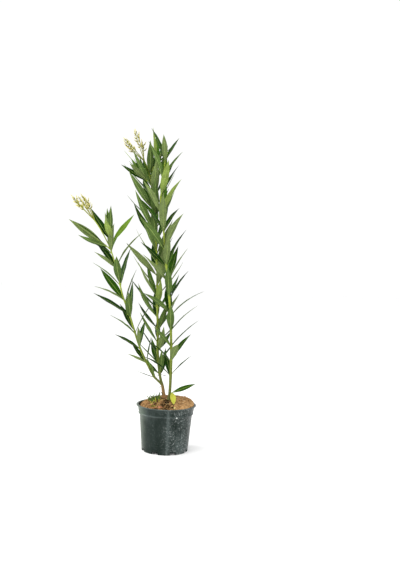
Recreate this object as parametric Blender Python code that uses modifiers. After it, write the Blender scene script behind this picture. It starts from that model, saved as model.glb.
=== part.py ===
"""Potted oleander: a shrub of three leafy canes in a round nursery pot.

Metres, +Z up. The pot's axis is Z and its flat underside lies on Z = 0.
A short woody trunk forks into the left and the middle cane, which lean to -X.
The right cane stands beside it. Each cane is bare at its foot and then carries
tiers of leaves in whorls of three, and the two forked canes end in a blossom.
"""

import math
import random

import bmesh
import bpy
import numpy as np
from mathutils import Matrix
from mathutils.bvhtree import BVHTree

MEET = 0.0003            # gap between two pieces that touch in the real plant

# Pot
POT_HEIGHT = 0.1462
RIM_RADIUS = 0.095       # outside of the lip
COLLAR_RADIUS = 0.0900   # top of the band under the lip
COLLAR_FOOT_RADIUS = 0.0864
WALL_TOP_RADIUS = 0.0837 # outside of the wall under the collar's ring
BASE_RADIUS = 0.0730
LIP_HEIGHT = 0.0035
COLLAR_HEIGHT = 0.022
COLLAR_FOOT = POT_HEIGHT - LIP_HEIGHT - COLLAR_HEIGHT
RING_HEIGHT = 0.003
RING_STAND = 0.0010      # how far the ring stands out of the collar
WALL = 0.002
EDGE_BREAK = 0.0009      # chamfer of the base and lip edges
WALL_BEND = 0.001        # half the height of the step from the wall out to the collar
RING_SLOPE = 0.0015      # height of the slope under the ring
POT_STEPS = 44
NOTCHES = 8              # drainage notches round the base
NOTCH_WIDTH = 0.019
NOTCH_HEIGHT = 0.0075
NOTCH_DEPTH = 0.0085
NOTCH_TURN = math.radians(-67)

# Compost
SOIL_MIDDLE = 0.149      # level of the surface before its dome
SOIL_DOME = 0.016
SOIL_SLOPE_X = 0.06
SOIL_SLOPE_Y = 0.08
SOIL_DIP = 0.006         # how far the surface drops further at the left edge
SOIL_RINGS = (0.92, 0.70, 0.46, 0.22)
SEAT_SINK = 0.0014       # depth of the flat seat under each foot
SEAT_STEPS = 24

# Limbs: centre lines from the ground up, chosen by hand
LEFT_LINE = (
    (-0.007, 0.012, 0.157), (-0.014, 0.010, 0.200), (-0.045, 0.006, 0.235), (-0.073, 0.000, 0.288),
    (-0.094, -0.006, 0.335), (-0.111, -0.012, 0.387), (-0.123, -0.017, 0.424), (-0.147, -0.025, 0.488),
    (-0.168, -0.035, 0.571), (-0.187, -0.040, 0.628), (-0.203, -0.044, 0.661), (-0.225, -0.048, 0.698),
    (-0.246, -0.050, 0.725),
)
MIDDLE_LINE = (
    (-0.007, 0.012, 0.157), (-0.014, 0.012, 0.199), (-0.022, 0.016, 0.224), (-0.029, 0.020, 0.263),
    (-0.035, 0.026, 0.319), (-0.036, 0.030, 0.364), (-0.042, 0.038, 0.469), (-0.046, 0.045, 0.567),
    (-0.051, 0.050, 0.634), (-0.057, 0.052, 0.695), (-0.066, 0.055, 0.774), (-0.076, 0.055, 0.847),
    (-0.090, 0.053, 0.894), (-0.104, 0.050, 0.920),
)
RIGHT_LINE = (
    (0.009, -0.012, 0.160), (0.010, -0.013, 0.181), (0.011, -0.014, 0.214), (0.011, -0.018, 0.299),
    (0.007, -0.022, 0.384), (0.002, -0.025, 0.447), (-0.005, -0.027, 0.523), (-0.013, -0.028, 0.577),
    (-0.020, -0.028, 0.636), (-0.027, -0.027, 0.697), (-0.036, -0.026, 0.745), (-0.039, -0.024, 0.790),
    (-0.036, -0.022, 0.827), (-0.033, -0.020, 0.872), (-0.029, -0.018, 0.907),
)
FORK_AT = 0.043          # along the line, from its lower end to the fork
LEFT_FOOT_AT = 0.026     # where the left cane's line comes out of the trunk
TRUNK_RADII = ((0.007, 0.0085), (0.013, 0.0064), (0.022, 0.0054), (FORK_AT, 0.0048))
RIGHT_FLARE = ((0.003, 0.0022), (0.009, 0.0008), (0.019, 0.0))
SHOOT_RADII = (0.0019, 0.0011)
FOOT_SINK = 0.008        # how far a foot is drawn below its line before its flat cut
FOOT_ROOM = 0.002        # width of the flat seat round a foot
LIMB_STEP = 0.022        # distance between the rings of a stem
CANE_STEP = 0.01         # the same where a cane is bare
SHOOT_STEP = 0.012
ARM_STEP = 0.018
LIMB_SIDES = 10
STEM_SIDES = 8
SHOOT_SIDES = 6
ARM_SIDES = 4
ROOM_SIDES = 6
END_STEP = 0.0012        # last step at each end, so that a cut lies square to the line

# Leaf, in shares of its own length
LEAF_SLIM = 0.175        # width to length
LEAF_THICK = 0.013
LEAF_FOLD = 0.2          # rise of the edges over half the width
LEAF_STATIONS = (0.0, 0.13, 0.36, 0.63, 0.86)
PETIOLE_HALF_WIDTH = 0.0012
LEAF_ROOM = 0.0004       # air that a leaf keeps on each side from other masses
TIER_LEAD = 0.007        # stem below a tier's first whorl
WHORL_STAGGER = 0.004    # the three leaves of a whorl leave the stem this far apart
TURNS_ASIDE = (0, 12, -12, 24, -24, 36, -36)    # degrees, tried in this order

# Growth of each cane: whorls from `first` to the tip, their gap changing from `gap` to
# `last_gap`, each turned 60 degrees on the one before. Angles are degrees from the cane,
# and spreads and lengths are given low on the cane, half way up and at its tip.
# Tiers are (node, number of whorls, seed of its own variation).
LEFT = dict(
    line=LEFT_LINE, radii=(0.0035, 0.0015), first=0.0815, gap=0.0528, last_gap=0.0525, phase=54,
    spread=(38, 36, 34), bend=(2, 25), lengths=(0.073, 0.137, 0.12),
    tiers=(("left_foliage_lower", 3, 7724), ("left_foliage_middle", 3, 3057),
           ("left_foliage_upper", 3, 2140)),
    shoots=(
        dict(at=0.5094, azimuth=-28, spread=37, bend=-27, stem=0.043, first=0.68, gap=0.0092, phase=37,
             leaf_spread=(43, 27, 5), lengths=(0.12, 0.097, 0.097), whorls=2, seed=1767),
        dict(at=0.5115, azimuth=182, spread=25, bend=14, stem=0.037, first=0.3, gap=0.0118, phase=353,
             leaf_spread=(40, 17, 10), lengths=(0.105, 0.111, 0.12), whorls=2, seed=5),
    ),
    blossom=dict(node="left_blossom", start=0.545, seed=1459),
)
MIDDLE = dict(
    line=MIDDLE_LINE, radii=(0.0043, 0.0016), first=0.0816, gap=0.0355, last_gap=0.0348, phase=45,
    spread=(49, 45, 41), bend=(-15, -12), lengths=(0.091, 0.14, 0.137),
    tiers=(("middle_foliage_lower", 5, 3789), ("middle_foliage_middle", 5, 4500),
           ("middle_foliage_high", 5, 7163), ("middle_foliage_top", 4, 8694)),
    shoots=(
        dict(at=0.7238, azimuth=4, spread=60, bend=-33, stem=0.046, first=0.51, gap=0.0261, phase=170,
             leaf_spread=(32, 31, 29), lengths=(0.058, 0.093, 0.099), whorls=2, seed=717),
        dict(at=0.6905, azimuth=206, spread=52, bend=-33, stem=0.044, first=0.3, gap=0.0224, phase=49,
             leaf_spread=(24, 21, 9), lengths=(0.102, 0.093, 0.065), whorls=2, seed=412),
    ),
    blossom=dict(node="middle_blossom", start=0.733, seed=3051),
)
RIGHT = dict(
    line=RIGHT_LINE, radii=(0.0046, 0.0016), first=0.0774, gap=0.0474, last_gap=0.0562, phase=96,
    spread=(41, 35, 22), bend=(19, 18), lengths=(0.11, 0.14, 0.115),
    tiers=(("right_foliage_lower", 4, 5275), ("right_foliage_middle", 3, 587),
           ("right_foliage_high", 3, 823), ("right_foliage_top", 4, 8636)),
    shoots=(),
    blossom=None,
)

# Two odd leaves on a short stalk at the right cane's foot: one fresh, one old and drooping.
# Each is (azimuth, spread, bend, length, width to length, roll).
FOOT_SPRIG = dict(
    node="right_foot_sprig", at=0.023, azimuth=-40, spread=72, stem=0.011, radius=0.0018,
    leaves=((8, 64, 4, 0.083, 0.21, -42), (-78, 109, 28, 0.050, 0.36, 0)),
)

# How much a leaf departs from its whorl, each way
VARY_AZIMUTH = 18
VARY_SPREAD = 8
VARY_LENGTH = 0.14
VARY_BEND = 10
VARY_ROLL = 22

# Blossom: arms round the end of the flower stalk, florets along each arm
ARMS = 6
ARM_RUN = 0.012          # stretch of the stalk that the arms leave from
ARM_LENGTH = (0.05, 0.095)
ARM_SPREAD = (5, 45)
ARM_BEND = 20
ARM_VARY = 50
ARM_RADII = (0.0012, 0.0009)
FLORETS = 5
FLORET_FIRST = 0.45      # share of the arm below its first floret
FLORET_LENGTH = (0.016, 0.024)
FLORET_SHAPE = ((0.0, 0.0008), (0.7, 0.0015))
FLORET_STAND = (25, 60)
FLORET_VARY = 60
LAST_STAND = 0.3         # the last floret stands this much of the angle off its arm
GOLDEN_TURN = 137.5


# ---------------------------------------------------------------- scene and materials

def empty_the_scene():
    for obj in list(bpy.data.objects):
        bpy.data.objects.remove(obj, do_unlink=True)


def new_collection(name):
    collection = bpy.data.collections.new(name)
    bpy.context.scene.collection.children.link(collection)
    return collection


def plain_material(name, color, roughness):
    material = bpy.data.materials.new(name)
    material.use_nodes = True
    shader = material.node_tree.nodes["Principled BSDF"]
    shader.inputs["Base Color"].default_value = (*color, 1.0)
    shader.inputs["Roughness"].default_value = roughness
    shader.inputs["Metallic"].default_value = 0.0
    return material


def add_object(name, mesh, collection, material=None):
    obj = bpy.data.objects.new(name, mesh)
    collection.objects.link(obj)
    if material:
        mesh.materials.clear()
        mesh.materials.append(material)
    return obj


def make_cutter(obj):
    obj.hide_render = True
    obj.display_type = "WIRE"
    return obj


def evaluated_mesh(obj):
    graph = bpy.context.evaluated_depsgraph_get()
    graph.update()
    return bpy.data.meshes.new_from_object(obj.evaluated_get(graph))


def keep_main_body(mesh):
    """Weld, drop slivers, and keep the widest shell: no loose scrap, no sealed hollow."""
    bm = bmesh.new()
    bm.from_mesh(mesh)
    bmesh.ops.remove_doubles(bm, verts=bm.verts, dist=1e-6)
    bmesh.ops.dissolve_degenerate(bm, dist=1e-6, edges=bm.edges)
    bmesh.ops.triangulate(bm, faces=bm.faces)
    shells = []
    left = set(bm.verts)
    while left:
        front = [left.pop()]
        shell = set(front)
        while front:
            for edge in front.pop().link_edges:
                for vert in edge.verts:
                    if vert not in shell:
                        shell.add(vert)
                        front.append(vert)
        left -= shell
        shells.append(shell)
    shells.sort(key=len)
    for shell in shells[:-1]:
        bmesh.ops.delete(bm, geom=list(shell), context="VERTS")
    bm.to_mesh(mesh)
    bm.free()
    return mesh


def apply_modifiers(obj):
    mesh = evaluated_mesh(obj)
    obj.modifiers.clear()
    obj.data = keep_main_body(mesh)
    return obj


# ---------------------------------------------------------------- lines and limbs

class Line:
    """A smooth curve through hand-chosen points, read by distance along it."""

    def __init__(self, points):
        knots = np.array(points, float)
        ends = np.vstack([2 * knots[0] - knots[1], knots, 2 * knots[-1] - knots[-2]])
        t = np.linspace(0, 1, 24, endpoint=False)[:, None]
        runs = []
        for a, b, c, d in zip(ends, ends[1:], ends[2:], ends[3:]):
            runs.append(0.5 * (2 * b + (c - a) * t + (2 * a - 5 * b + 4 * c - d) * t ** 2
                               + (3 * b - a - 3 * c + d) * t ** 3))
        path = np.vstack(runs + [knots[-1:]])
        along = np.concatenate([[0], np.cumsum(np.linalg.norm(np.diff(path, axis=0), axis=1))])
        self.length = along[-1]
        self.s = np.linspace(0, self.length, 240)
        self.points = np.stack([np.interp(self.s, along, path[:, k]) for k in range(3)], -1)
        ways = np.gradient(self.points, self.s, axis=0)
        self.ways = ways / np.linalg.norm(ways, axis=1)[:, None]

    def at(self, s):
        point = np.array([np.interp(s, self.s, self.points[:, k]) for k in range(3)])
        way = np.array([np.interp(s, self.s, self.ways[:, k]) for k in range(3)])
        return point + way * min(s, 0.0), way / np.linalg.norm(way)


def stations(start, end, step=LIMB_STEP):
    count = max(2, int(round((end - start) / step)) + 1)
    inner = np.linspace(start + END_STEP, end - END_STEP, count)
    return np.concatenate([[start], inner, [end]])


def tube(name, line, distances, radii, sides, collection, material=None):
    """A limb along part of a line: a bevelled curve with filled caps, made a closed mesh."""
    curve = bpy.data.curves.new(name + "_line", "CURVE")
    curve.dimensions = "3D"
    curve.bevel_depth = 1.0
    curve.bevel_resolution = (sides - 4) // 2
    curve.use_fill_caps = True
    spline = curve.splines.new("POLY")
    spline.points.add(len(distances) - 1)
    for knot, s, radius in zip(spline.points, distances, radii):
        knot.co = (*line.at(s)[0], 1.0)
        knot.radius = radius
    guide = bpy.data.objects.new(name + "_guide", curve)
    bpy.context.scene.collection.objects.link(guide)
    mesh = evaluated_mesh(guide)
    bpy.data.objects.remove(guide)
    bm = bmesh.new()
    bm.from_mesh(mesh)
    bmesh.ops.remove_doubles(bm, verts=bm.verts, dist=1e-6)
    bmesh.ops.recalc_face_normals(bm, faces=bm.faces)
    bm.to_mesh(mesh)
    bm.free()
    return add_object(name, mesh, collection, material)


def taper(distances, pairs):
    return np.interp(distances, [s for s, _ in pairs], [r for _, r in pairs])


def cane_radius(cane, s):
    line = cane["line"]
    return np.interp(s, [FORK_AT, line.length], cane["radii"])


def loft(rings, tip):
    """Points and faces of a spindle: four-sided rings, a flat root and a pointed tip."""
    count = len(rings)
    points = np.vstack([rings.reshape(-1, 3), tip[None]])
    faces = [(3, 2, 1, 0)]
    for k in range(count - 1):
        for i in range(4):
            j = (i + 1) % 4
            faces.append((4 * k + i, 4 * k + j, 4 * k + 4 + j, 4 * k + 4 + i))
    last = 4 * (count - 1)
    for i in range(4):
        faces.append((last + i, last + (i + 1) % 4, 4 * count))
    return points, faces


def loft_object(name, shape, collection):
    points, faces = shape
    mesh = bpy.data.meshes.new(name)
    mesh.from_pydata(points.tolist(), [], faces)
    bm = bmesh.new()
    bm.from_mesh(mesh)
    bmesh.ops.recalc_face_normals(bm, faces=bm.faces)
    bm.to_mesh(mesh)
    bm.free()
    return add_object(name, mesh, collection)


# ---------------------------------------------------------------- the rule of growth

def between(pair, share):
    return pair[0] + (pair[1] - pair[0]) * share


def arc_frame(root, way, azimuth, spread, bend, length, t):
    """Centre line of an organ that leaves a stem at an angle and bends evenly along its length.

    Its angle from the stem is spread + bend * t. Returns centres, directions, the side
    axis and the axes that point away from the stem.
    """
    across = np.array([1.0, 0.0, 0.0]) - way[0] * way
    across /= np.linalg.norm(across)
    outward = math.cos(azimuth) * across + math.sin(azimuth) * np.cross(way, across)
    side = np.cross(way, outward)
    middle = (t[1:] + t[:-1]) / 2
    angle = (spread + bend * middle)[:, None]
    steps = (np.cos(angle) * way + np.sin(angle) * outward) * (np.diff(t) * length)[:, None]
    centres = root + np.vstack([np.zeros(3), np.cumsum(steps, axis=0)])
    angle = (spread + bend * t)[:, None]
    directions = np.cos(angle) * way + np.sin(angle) * outward
    return centres, directions, side, np.cross(side, directions)


def along_cane(values, share):
    """Read a value given at the foot, half way up and at the tip."""
    low, middle, high = values
    if share < 0.5:
        return between((low, middle), 2 * share)
    return between((middle, high), 2 * share - 1)


def half_width(t, length, slim):
    return 0.5 * slim * length * np.sin(np.pi * t ** 0.92) ** 1.15


def leaf_shape(leaf, room=0.0, slim=LEAF_SLIM):
    """A lance-shaped blade folded up along its midrib, four points a ring."""
    root, way, azimuth, spread, bend, length, roll = leaf
    t = np.array(LEAF_STATIONS + (1.0,))
    fine = np.linspace(0, 1, 25)
    centres, _, side, away = arc_frame(root, way, azimuth, spread, bend, length, fine)
    centres = np.stack([np.interp(t, fine, centres[:, k]) for k in range(3)], -1)
    away = np.stack([np.interp(t, fine, away[:, k]) for k in range(3)], -1)
    sides = math.cos(roll) * side + math.sin(roll) * away
    ups = math.sin(roll) * side - math.cos(roll) * away
    wide = (np.maximum(half_width(t, length, slim), PETIOLE_HALF_WIDTH) + room)[:, None]
    thick = LEAF_THICK * length / 2 + room
    raised = ups * wide * LEAF_FOLD
    rings = np.stack([centres - sides * wide + raised, centres - ups * thick,
                      centres + sides * wide + raised, centres + ups * thick], 1)
    tip = centres[-1] + ups[-1] * thick * 0.3
    return loft(rings[:-1], tip)


def whorl_places(growth, count):
    places = []
    s = growth["first"]
    for k in range(count):
        places.append(s)
        s += between((growth["gap"], growth["last_gap"]), k / (count - 1))
    return places


def whorl_leaves(line, growth, k, count, place, rng):
    """The three leaves of whorl number k, as (root, way, azimuth, spread, bend, length, roll)."""
    share = k / (count - 1)
    leaves = []
    for j in range(3):
        u = [rng.uniform(-1, 1) for _ in range(5)]
        azimuth = growth["phase"] + 60 * k + 120 * j + VARY_AZIMUTH * u[0]
        spread = along_cane(growth["spread"], share) + VARY_SPREAD * u[1]
        length = along_cane(growth["lengths"], share) * (1 + VARY_LENGTH * u[2])
        bend = between(growth["bend"], share) + VARY_BEND * u[3]
        root, way = line.at(place + WHORL_STAGGER * (j - 1))
        leaves.append((root, way, math.radians(azimuth), math.radians(spread), math.radians(bend), length,
                       math.radians(VARY_ROLL * u[4])))
    return leaves


def shoot_line(cane_line, shoot):
    root, way = cane_line.at(shoot["at"])
    centres = arc_frame(root, way, math.radians(shoot["azimuth"]), math.radians(shoot["spread"]),
                        math.radians(shoot["bend"]), shoot["stem"], np.linspace(0, 1, 9))[0]
    return Line(centres)


def shoot_growth(line, shoot):
    return dict(first=shoot["first"] * line.length, gap=shoot["gap"], last_gap=0.8 * shoot["gap"],
                phase=shoot["phase"], spread=shoot["leaf_spread"], bend=(0, 0), lengths=shoot["lengths"])


def sprig_line():
    """The sprig's stalk and the distance along it at which it clears the cane."""
    root, way = RIGHT["line"].at(FOOT_SPRIG["at"])
    spread = math.radians(FOOT_SPRIG["spread"])
    centres = arc_frame(root, way, math.radians(FOOT_SPRIG["azimuth"]), spread, 0.0, FOOT_SPRIG["stem"],
                        np.linspace(0, 1, 5))[0]
    reach = cane_radius(RIGHT, FOOT_SPRIG["at"]) + MEET + FOOT_SPRIG["radius"] * math.cos(spread)
    return Line(centres), reach / math.sin(spread)


def sprig_leaves():
    """The sprig's leaves, each with its own width, in the directions of the right cane."""
    line, start = sprig_line()
    way = RIGHT["line"].at(FOOT_SPRIG["at"])[1]
    leaves = []
    for number, (azimuth, spread, bend, length, slim, roll) in enumerate(FOOT_SPRIG["leaves"]):
        root = line.at(start + 0.002 + 0.003 * number)[0]
        leaf = (root, way, math.radians(azimuth), math.radians(spread), math.radians(bend), length,
                math.radians(roll))
        leaves.append((leaf, slim))
    return leaves


def tube_room(line, distances, radii):
    """The space that a limb keeps, as a tree of many-sided rings."""
    rings = []
    for s, radius in zip(distances, radii):
        point, way = line.at(s)
        a = np.cross(way, (0.0, 1.0, 0.0))
        a /= np.linalg.norm(a)
        b = np.cross(way, a)
        angles = np.arange(ROOM_SIDES) * 2 * math.pi / ROOM_SIDES
        around = np.cos(angles)[:, None] * a + np.sin(angles)[:, None] * b
        rings.append(point + (radius + LEAF_ROOM) * around)
    faces = []
    for k in range(len(rings) - 1):
        for i in range(ROOM_SIDES):
            j = (i + 1) % ROOM_SIDES
            low, high = k * ROOM_SIDES, (k + 1) * ROOM_SIDES
            faces.append((low + i, low + j, high + j, high + i))
    return BVHTree.FromPolygons(np.vstack(rings).tolist(), faces)


def room_of(shape):
    points, faces = shape
    return BVHTree.FromPolygons(points.tolist(), faces)


def is_clear(room, own, rooms):
    return not any(owner != own and room.overlap(tree) for owner, tree in rooms)


def settle(leaf, own, rooms):
    """Turn a leaf aside until it clears every other mass, or give None."""
    root, way, azimuth, *rest = leaf
    for turn in TURNS_ASIDE:
        aside = (root, way, azimuth + math.radians(turn), *rest)
        room = room_of(leaf_shape(aside, LEAF_ROOM))
        if is_clear(room, own, rooms):
            rooms.append((own, room))
            return aside
    return None


# ---------------------------------------------------------------- pot and compost

def inner_wall(z):
    """Inner radius of the pot at height z."""
    heights = [0, COLLAR_FOOT - WALL_BEND, COLLAR_FOOT + WALL_BEND, POT_HEIGHT]
    outside = [BASE_RADIUS, WALL_TOP_RADIUS, COLLAR_FOOT_RADIUS, COLLAR_RADIUS]
    return np.interp(z, heights, outside) - WALL


def turned(name, profile, collection, material):
    """Screw a profile round Z; it starts inside and runs down the outer side."""
    mesh = bpy.data.meshes.new(name)
    points = [(r, 0.0, z) for r, z in profile]
    mesh.from_pydata(points, [(i, i + 1) for i in range(len(points) - 1)], [])
    obj = add_object(name, mesh, collection, material)
    screw = obj.modifiers.new("turn", "SCREW")
    screw.axis = "Z"
    screw.steps = POT_STEPS
    screw.render_steps = POT_STEPS
    screw.use_merge_vertices = True
    screw.merge_threshold = 0.00001
    screw.use_smooth_shade = True
    return obj


def add_boolean(obj, operation, other):
    modifier = obj.modifiers.new(operation.lower(), "BOOLEAN")
    modifier.operation = operation
    modifier.solver = "EXACT"
    if isinstance(other, bpy.types.Collection):
        modifier.operand_type = "COLLECTION"
        modifier.collection = other
    else:
        modifier.object = other
    return modifier


def make_pot(parts, cutters, material):
    low_bend = COLLAR_FOOT - WALL_BEND
    high_bend = COLLAR_FOOT + WALL_BEND
    ring_foot = COLLAR_FOOT - RING_HEIGHT
    profile = [
        (0.0, WALL), (inner_wall(WALL), WALL), (inner_wall(low_bend), low_bend),
        (inner_wall(high_bend), high_bend), (inner_wall(POT_HEIGHT), POT_HEIGHT),
        (RIM_RADIUS - EDGE_BREAK, POT_HEIGHT), (RIM_RADIUS, POT_HEIGHT - EDGE_BREAK),
        (RIM_RADIUS, POT_HEIGHT - LIP_HEIGHT), (COLLAR_RADIUS, POT_HEIGHT - LIP_HEIGHT - EDGE_BREAK),
        (COLLAR_FOOT_RADIUS, COLLAR_FOOT + EDGE_BREAK), (COLLAR_FOOT_RADIUS + RING_STAND, COLLAR_FOOT),
        (COLLAR_FOOT_RADIUS + RING_STAND, ring_foot), (WALL_TOP_RADIUS, ring_foot - RING_SLOPE),
        (BASE_RADIUS, EDGE_BREAK), (BASE_RADIUS - EDGE_BREAK, 0.0), (0.0, 0.0),
    ]
    pot = turned("pot", profile, parts, material)
    blocks = bpy.data.meshes.new("notches")
    bm = bmesh.new()
    for k in range(NOTCHES):
        made = bmesh.ops.create_cube(bm, size=1.0)["verts"]
        bmesh.ops.scale(bm, vec=(2 * NOTCH_DEPTH, NOTCH_WIDTH, 2 * NOTCH_HEIGHT), verts=made)
        bmesh.ops.translate(bm, vec=(BASE_RADIUS, 0, 0), verts=made)
        angle = NOTCH_TURN + k * 2 * math.pi / NOTCHES
        bmesh.ops.rotate(bm, cent=(0, 0, 0), matrix=Matrix.Rotation(angle, 3, "Z"), verts=made)
    bm.to_mesh(blocks)
    bm.free()
    add_boolean(pot, "DIFFERENCE", make_cutter(add_object("notches", blocks, cutters)))
    return pot


def soil_height(x, y):
    share = (x * x + y * y) / inner_wall(POT_HEIGHT) ** 2
    left = max(0.0, -x) / inner_wall(POT_HEIGHT)
    slope = SOIL_SLOPE_X * x + SOIL_SLOPE_Y * y - SOIL_DIP * left ** 4
    return SOIL_MIDDLE + slope + SOIL_DOME * (1 - share)


def soil_edge(angle):
    """Radius at which the surface meets the gap along the pot's inner wall."""
    radius = inner_wall(POT_HEIGHT) - MEET
    for _ in range(6):
        radius = inner_wall(soil_height(radius * math.cos(angle), radius * math.sin(angle))) - MEET
    return radius


def seat_height(line):
    x, y, _ = line.at(0.0)[0]
    return soil_height(x, y) - SEAT_SINK


def make_compost(parts, cutters, material, feet):
    """The root ball: a core that follows the pot's inner wall, under a sloping domed surface."""
    low_bend = COLLAR_FOOT - WALL_BEND
    high_bend = COLLAR_FOOT + WALL_BEND
    top = SOIL_MIDDLE
    edge = inner_wall(POT_HEIGHT) - MEET
    profile = [(edge * ring, top) for ring in (0.0, *reversed(SOIL_RINGS), 1.0)]
    profile += [
        (inner_wall(high_bend) - MEET, high_bend + MEET), (inner_wall(low_bend) - MEET, low_bend),
        (inner_wall(WALL + MEET) - MEET, WALL + MEET), (0.0, WALL + MEET),
    ]
    soil = turned("compost", profile, parts, material)
    mesh = evaluated_mesh(soil)
    soil.modifiers.clear()
    for vert in mesh.vertices:
        if vert.co.z > top - 1e-6:
            reach = soil_edge(math.atan2(vert.co.y, vert.co.x)) / edge
            vert.co.x, vert.co.y = vert.co.x * reach, vert.co.y * reach
            vert.co.z = soil_height(vert.co.x, vert.co.y)
    soil.data = mesh
    for name, line, radius in feet:
        x, y, _ = line.at(0.0)[0]
        middle = (x, y, seat_height(line) + SOIL_DOME)
        bpy.ops.mesh.primitive_cylinder_add(vertices=SEAT_STEPS, radius=radius + FOOT_ROOM,
                                            depth=2 * SOIL_DOME, location=middle)
        seat = bpy.context.object
        seat.name = name + "_seat"
        for collection in list(seat.users_collection):
            collection.objects.unlink(seat)
        cutters.objects.link(make_cutter(seat))
        add_boolean(soil, "DIFFERENCE", seat)
    return soil


# ---------------------------------------------------------------- limbs of the plant

def cut_flat(obj, level):
    """Cut a foot off level with the ground and close it with a flat face."""
    bm = bmesh.new()
    bm.from_mesh(obj.data)
    geometry = bm.verts[:] + bm.edges[:] + bm.faces[:]
    cut = bmesh.ops.bisect_plane(bm, geom=geometry, plane_co=(0, 0, level), plane_no=(0, 0, 1),
                                 clear_inner=True)
    rim = [piece for piece in cut["geom_cut"] if isinstance(piece, bmesh.types.BMEdge)]
    bmesh.ops.contextual_create(bm, geom=rim)
    bmesh.ops.recalc_face_normals(bm, faces=bm.faces)
    bm.to_mesh(obj.data)
    bm.free()
    return obj


def foot_places(end):
    return np.concatenate([[-FOOT_SINK], stations(0.0, end, CANE_STEP)])


def make_trunk(parts, material):
    line = MIDDLE["line"]
    places = foot_places(FORK_AT)
    trunk = tube("trunk", line, places, taper(places, TRUNK_RADII), LIMB_SIDES, parts, material)
    return cut_flat(trunk, seat_height(line) + MEET)


def make_middle_cane(parts, material, end):
    places = stations(FORK_AT + MEET, end)
    radii = cane_radius(MIDDLE, places)
    return tube("middle_cane", MIDDLE["line"], places, radii, LIMB_SIDES, parts, material)


def room_round(obj, cutters):
    """A copy of a limb, thicker by the gap that neighbours keep."""
    bm = bmesh.new()
    bm.from_mesh(obj.data)
    bm.normal_update()
    grown = [vert.co + vert.normal * MEET * vert.calc_shell_factor() for vert in bm.verts]
    for vert, place in zip(bm.verts, grown):
        vert.co = place
    mesh = bpy.data.meshes.new(obj.name + "_room")
    bm.to_mesh(mesh)
    bm.free()
    return make_cutter(add_object(mesh.name, mesh, cutters))


def make_left_cane(parts, cutters, material, end, trunk, middle_cane):
    """The left cane's foot is hollowed out to sit on the trunk and beside the middle cane."""
    places = stations(LEFT_FOOT_AT, end, CANE_STEP)
    cane = tube("left_cane", LEFT["line"], places, cane_radius(LEFT, places), LIMB_SIDES, parts, material)
    add_boolean(cane, "DIFFERENCE", room_round(trunk, cutters))
    add_boolean(cane, "DIFFERENCE", room_round(middle_cane, cutters))
    return apply_modifiers(cane)


def make_right_cane(parts, material, end):
    line = RIGHT["line"]
    places = foot_places(end)
    radii = cane_radius(RIGHT, places) + taper(places, RIGHT_FLARE)
    cane = tube("right_cane", line, places, radii, LIMB_SIDES, parts, material)
    return cut_flat(cane, seat_height(line) + MEET)


# ---------------------------------------------------------------- foliage and blossom

def fuse(stem, pieces):
    """Fuse a mass: its stem and everything in the collection become one closed body."""
    add_boolean(stem, "UNION", pieces)
    apply_modifiers(stem)
    for obj in list(pieces.objects):
        bpy.data.objects.remove(obj)
    bpy.data.collections.remove(pieces)


def tier_ends(cane):
    """Where the stem of each tier starts: just under its first whorl."""
    count = sum(tier[1] for tier in cane["tiers"])
    places = whorl_places(cane, count)
    starts = []
    k = 0
    for _, whorls, _ in cane["tiers"]:
        starts.append(places[k] - TIER_LEAD)
        k += whorls
    blossom = cane["blossom"]
    starts.append(blossom["start"] if blossom else cane["line"].length)
    return starts


def claim_limbs(cane, owner_of_cane, rooms):
    """Stems and side shoots take their space before any leaf does."""
    starts = tier_ends(cane)
    bare = stations(FORK_AT, starts[0])
    rooms.append((owner_of_cane, tube_room(cane["line"], bare, cane_radius(cane, bare))))
    for (node, _, _), start, end in zip(cane["tiers"], starts, starts[1:]):
        places = stations(start, end)
        rooms.append((node, tube_room(cane["line"], places, cane_radius(cane, places))))
    node = cane["tiers"][-1][0]
    for shoot in cane["shoots"]:
        line = shoot_line(cane["line"], shoot)
        places = stations(0.0, line.length, SHOOT_STEP)
        rooms.append((node, tube_room(line, places, shoot_radii(places, line))))
    if cane["blossom"]:
        places = stations(starts[-1], cane["line"].length)
        rooms.append((cane["blossom"]["node"], tube_room(cane["line"], places, cane_radius(cane, places))))


def make_sprig(parts, material, rooms):
    node = FOOT_SPRIG["node"]
    line, start = sprig_line()
    pieces = new_collection(node + "_pieces")
    for number, (leaf, slim) in enumerate(sprig_leaves()):
        loft_object(f"{node}_leaf_{number}", leaf_shape(leaf, slim=slim), pieces)
        rooms.append((node, room_of(leaf_shape(leaf, LEAF_ROOM, slim))))
    along = stations(start, line.length)
    radii = np.full(len(along), FOOT_SPRIG["radius"])
    rooms.append((node, tube_room(line, along, radii)))
    fuse(tube(node, line, along, radii, STEM_SIDES, parts, material), pieces)


def shoot_radii(places, line):
    return np.interp(places, [0, line.length], SHOOT_RADII)


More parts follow.
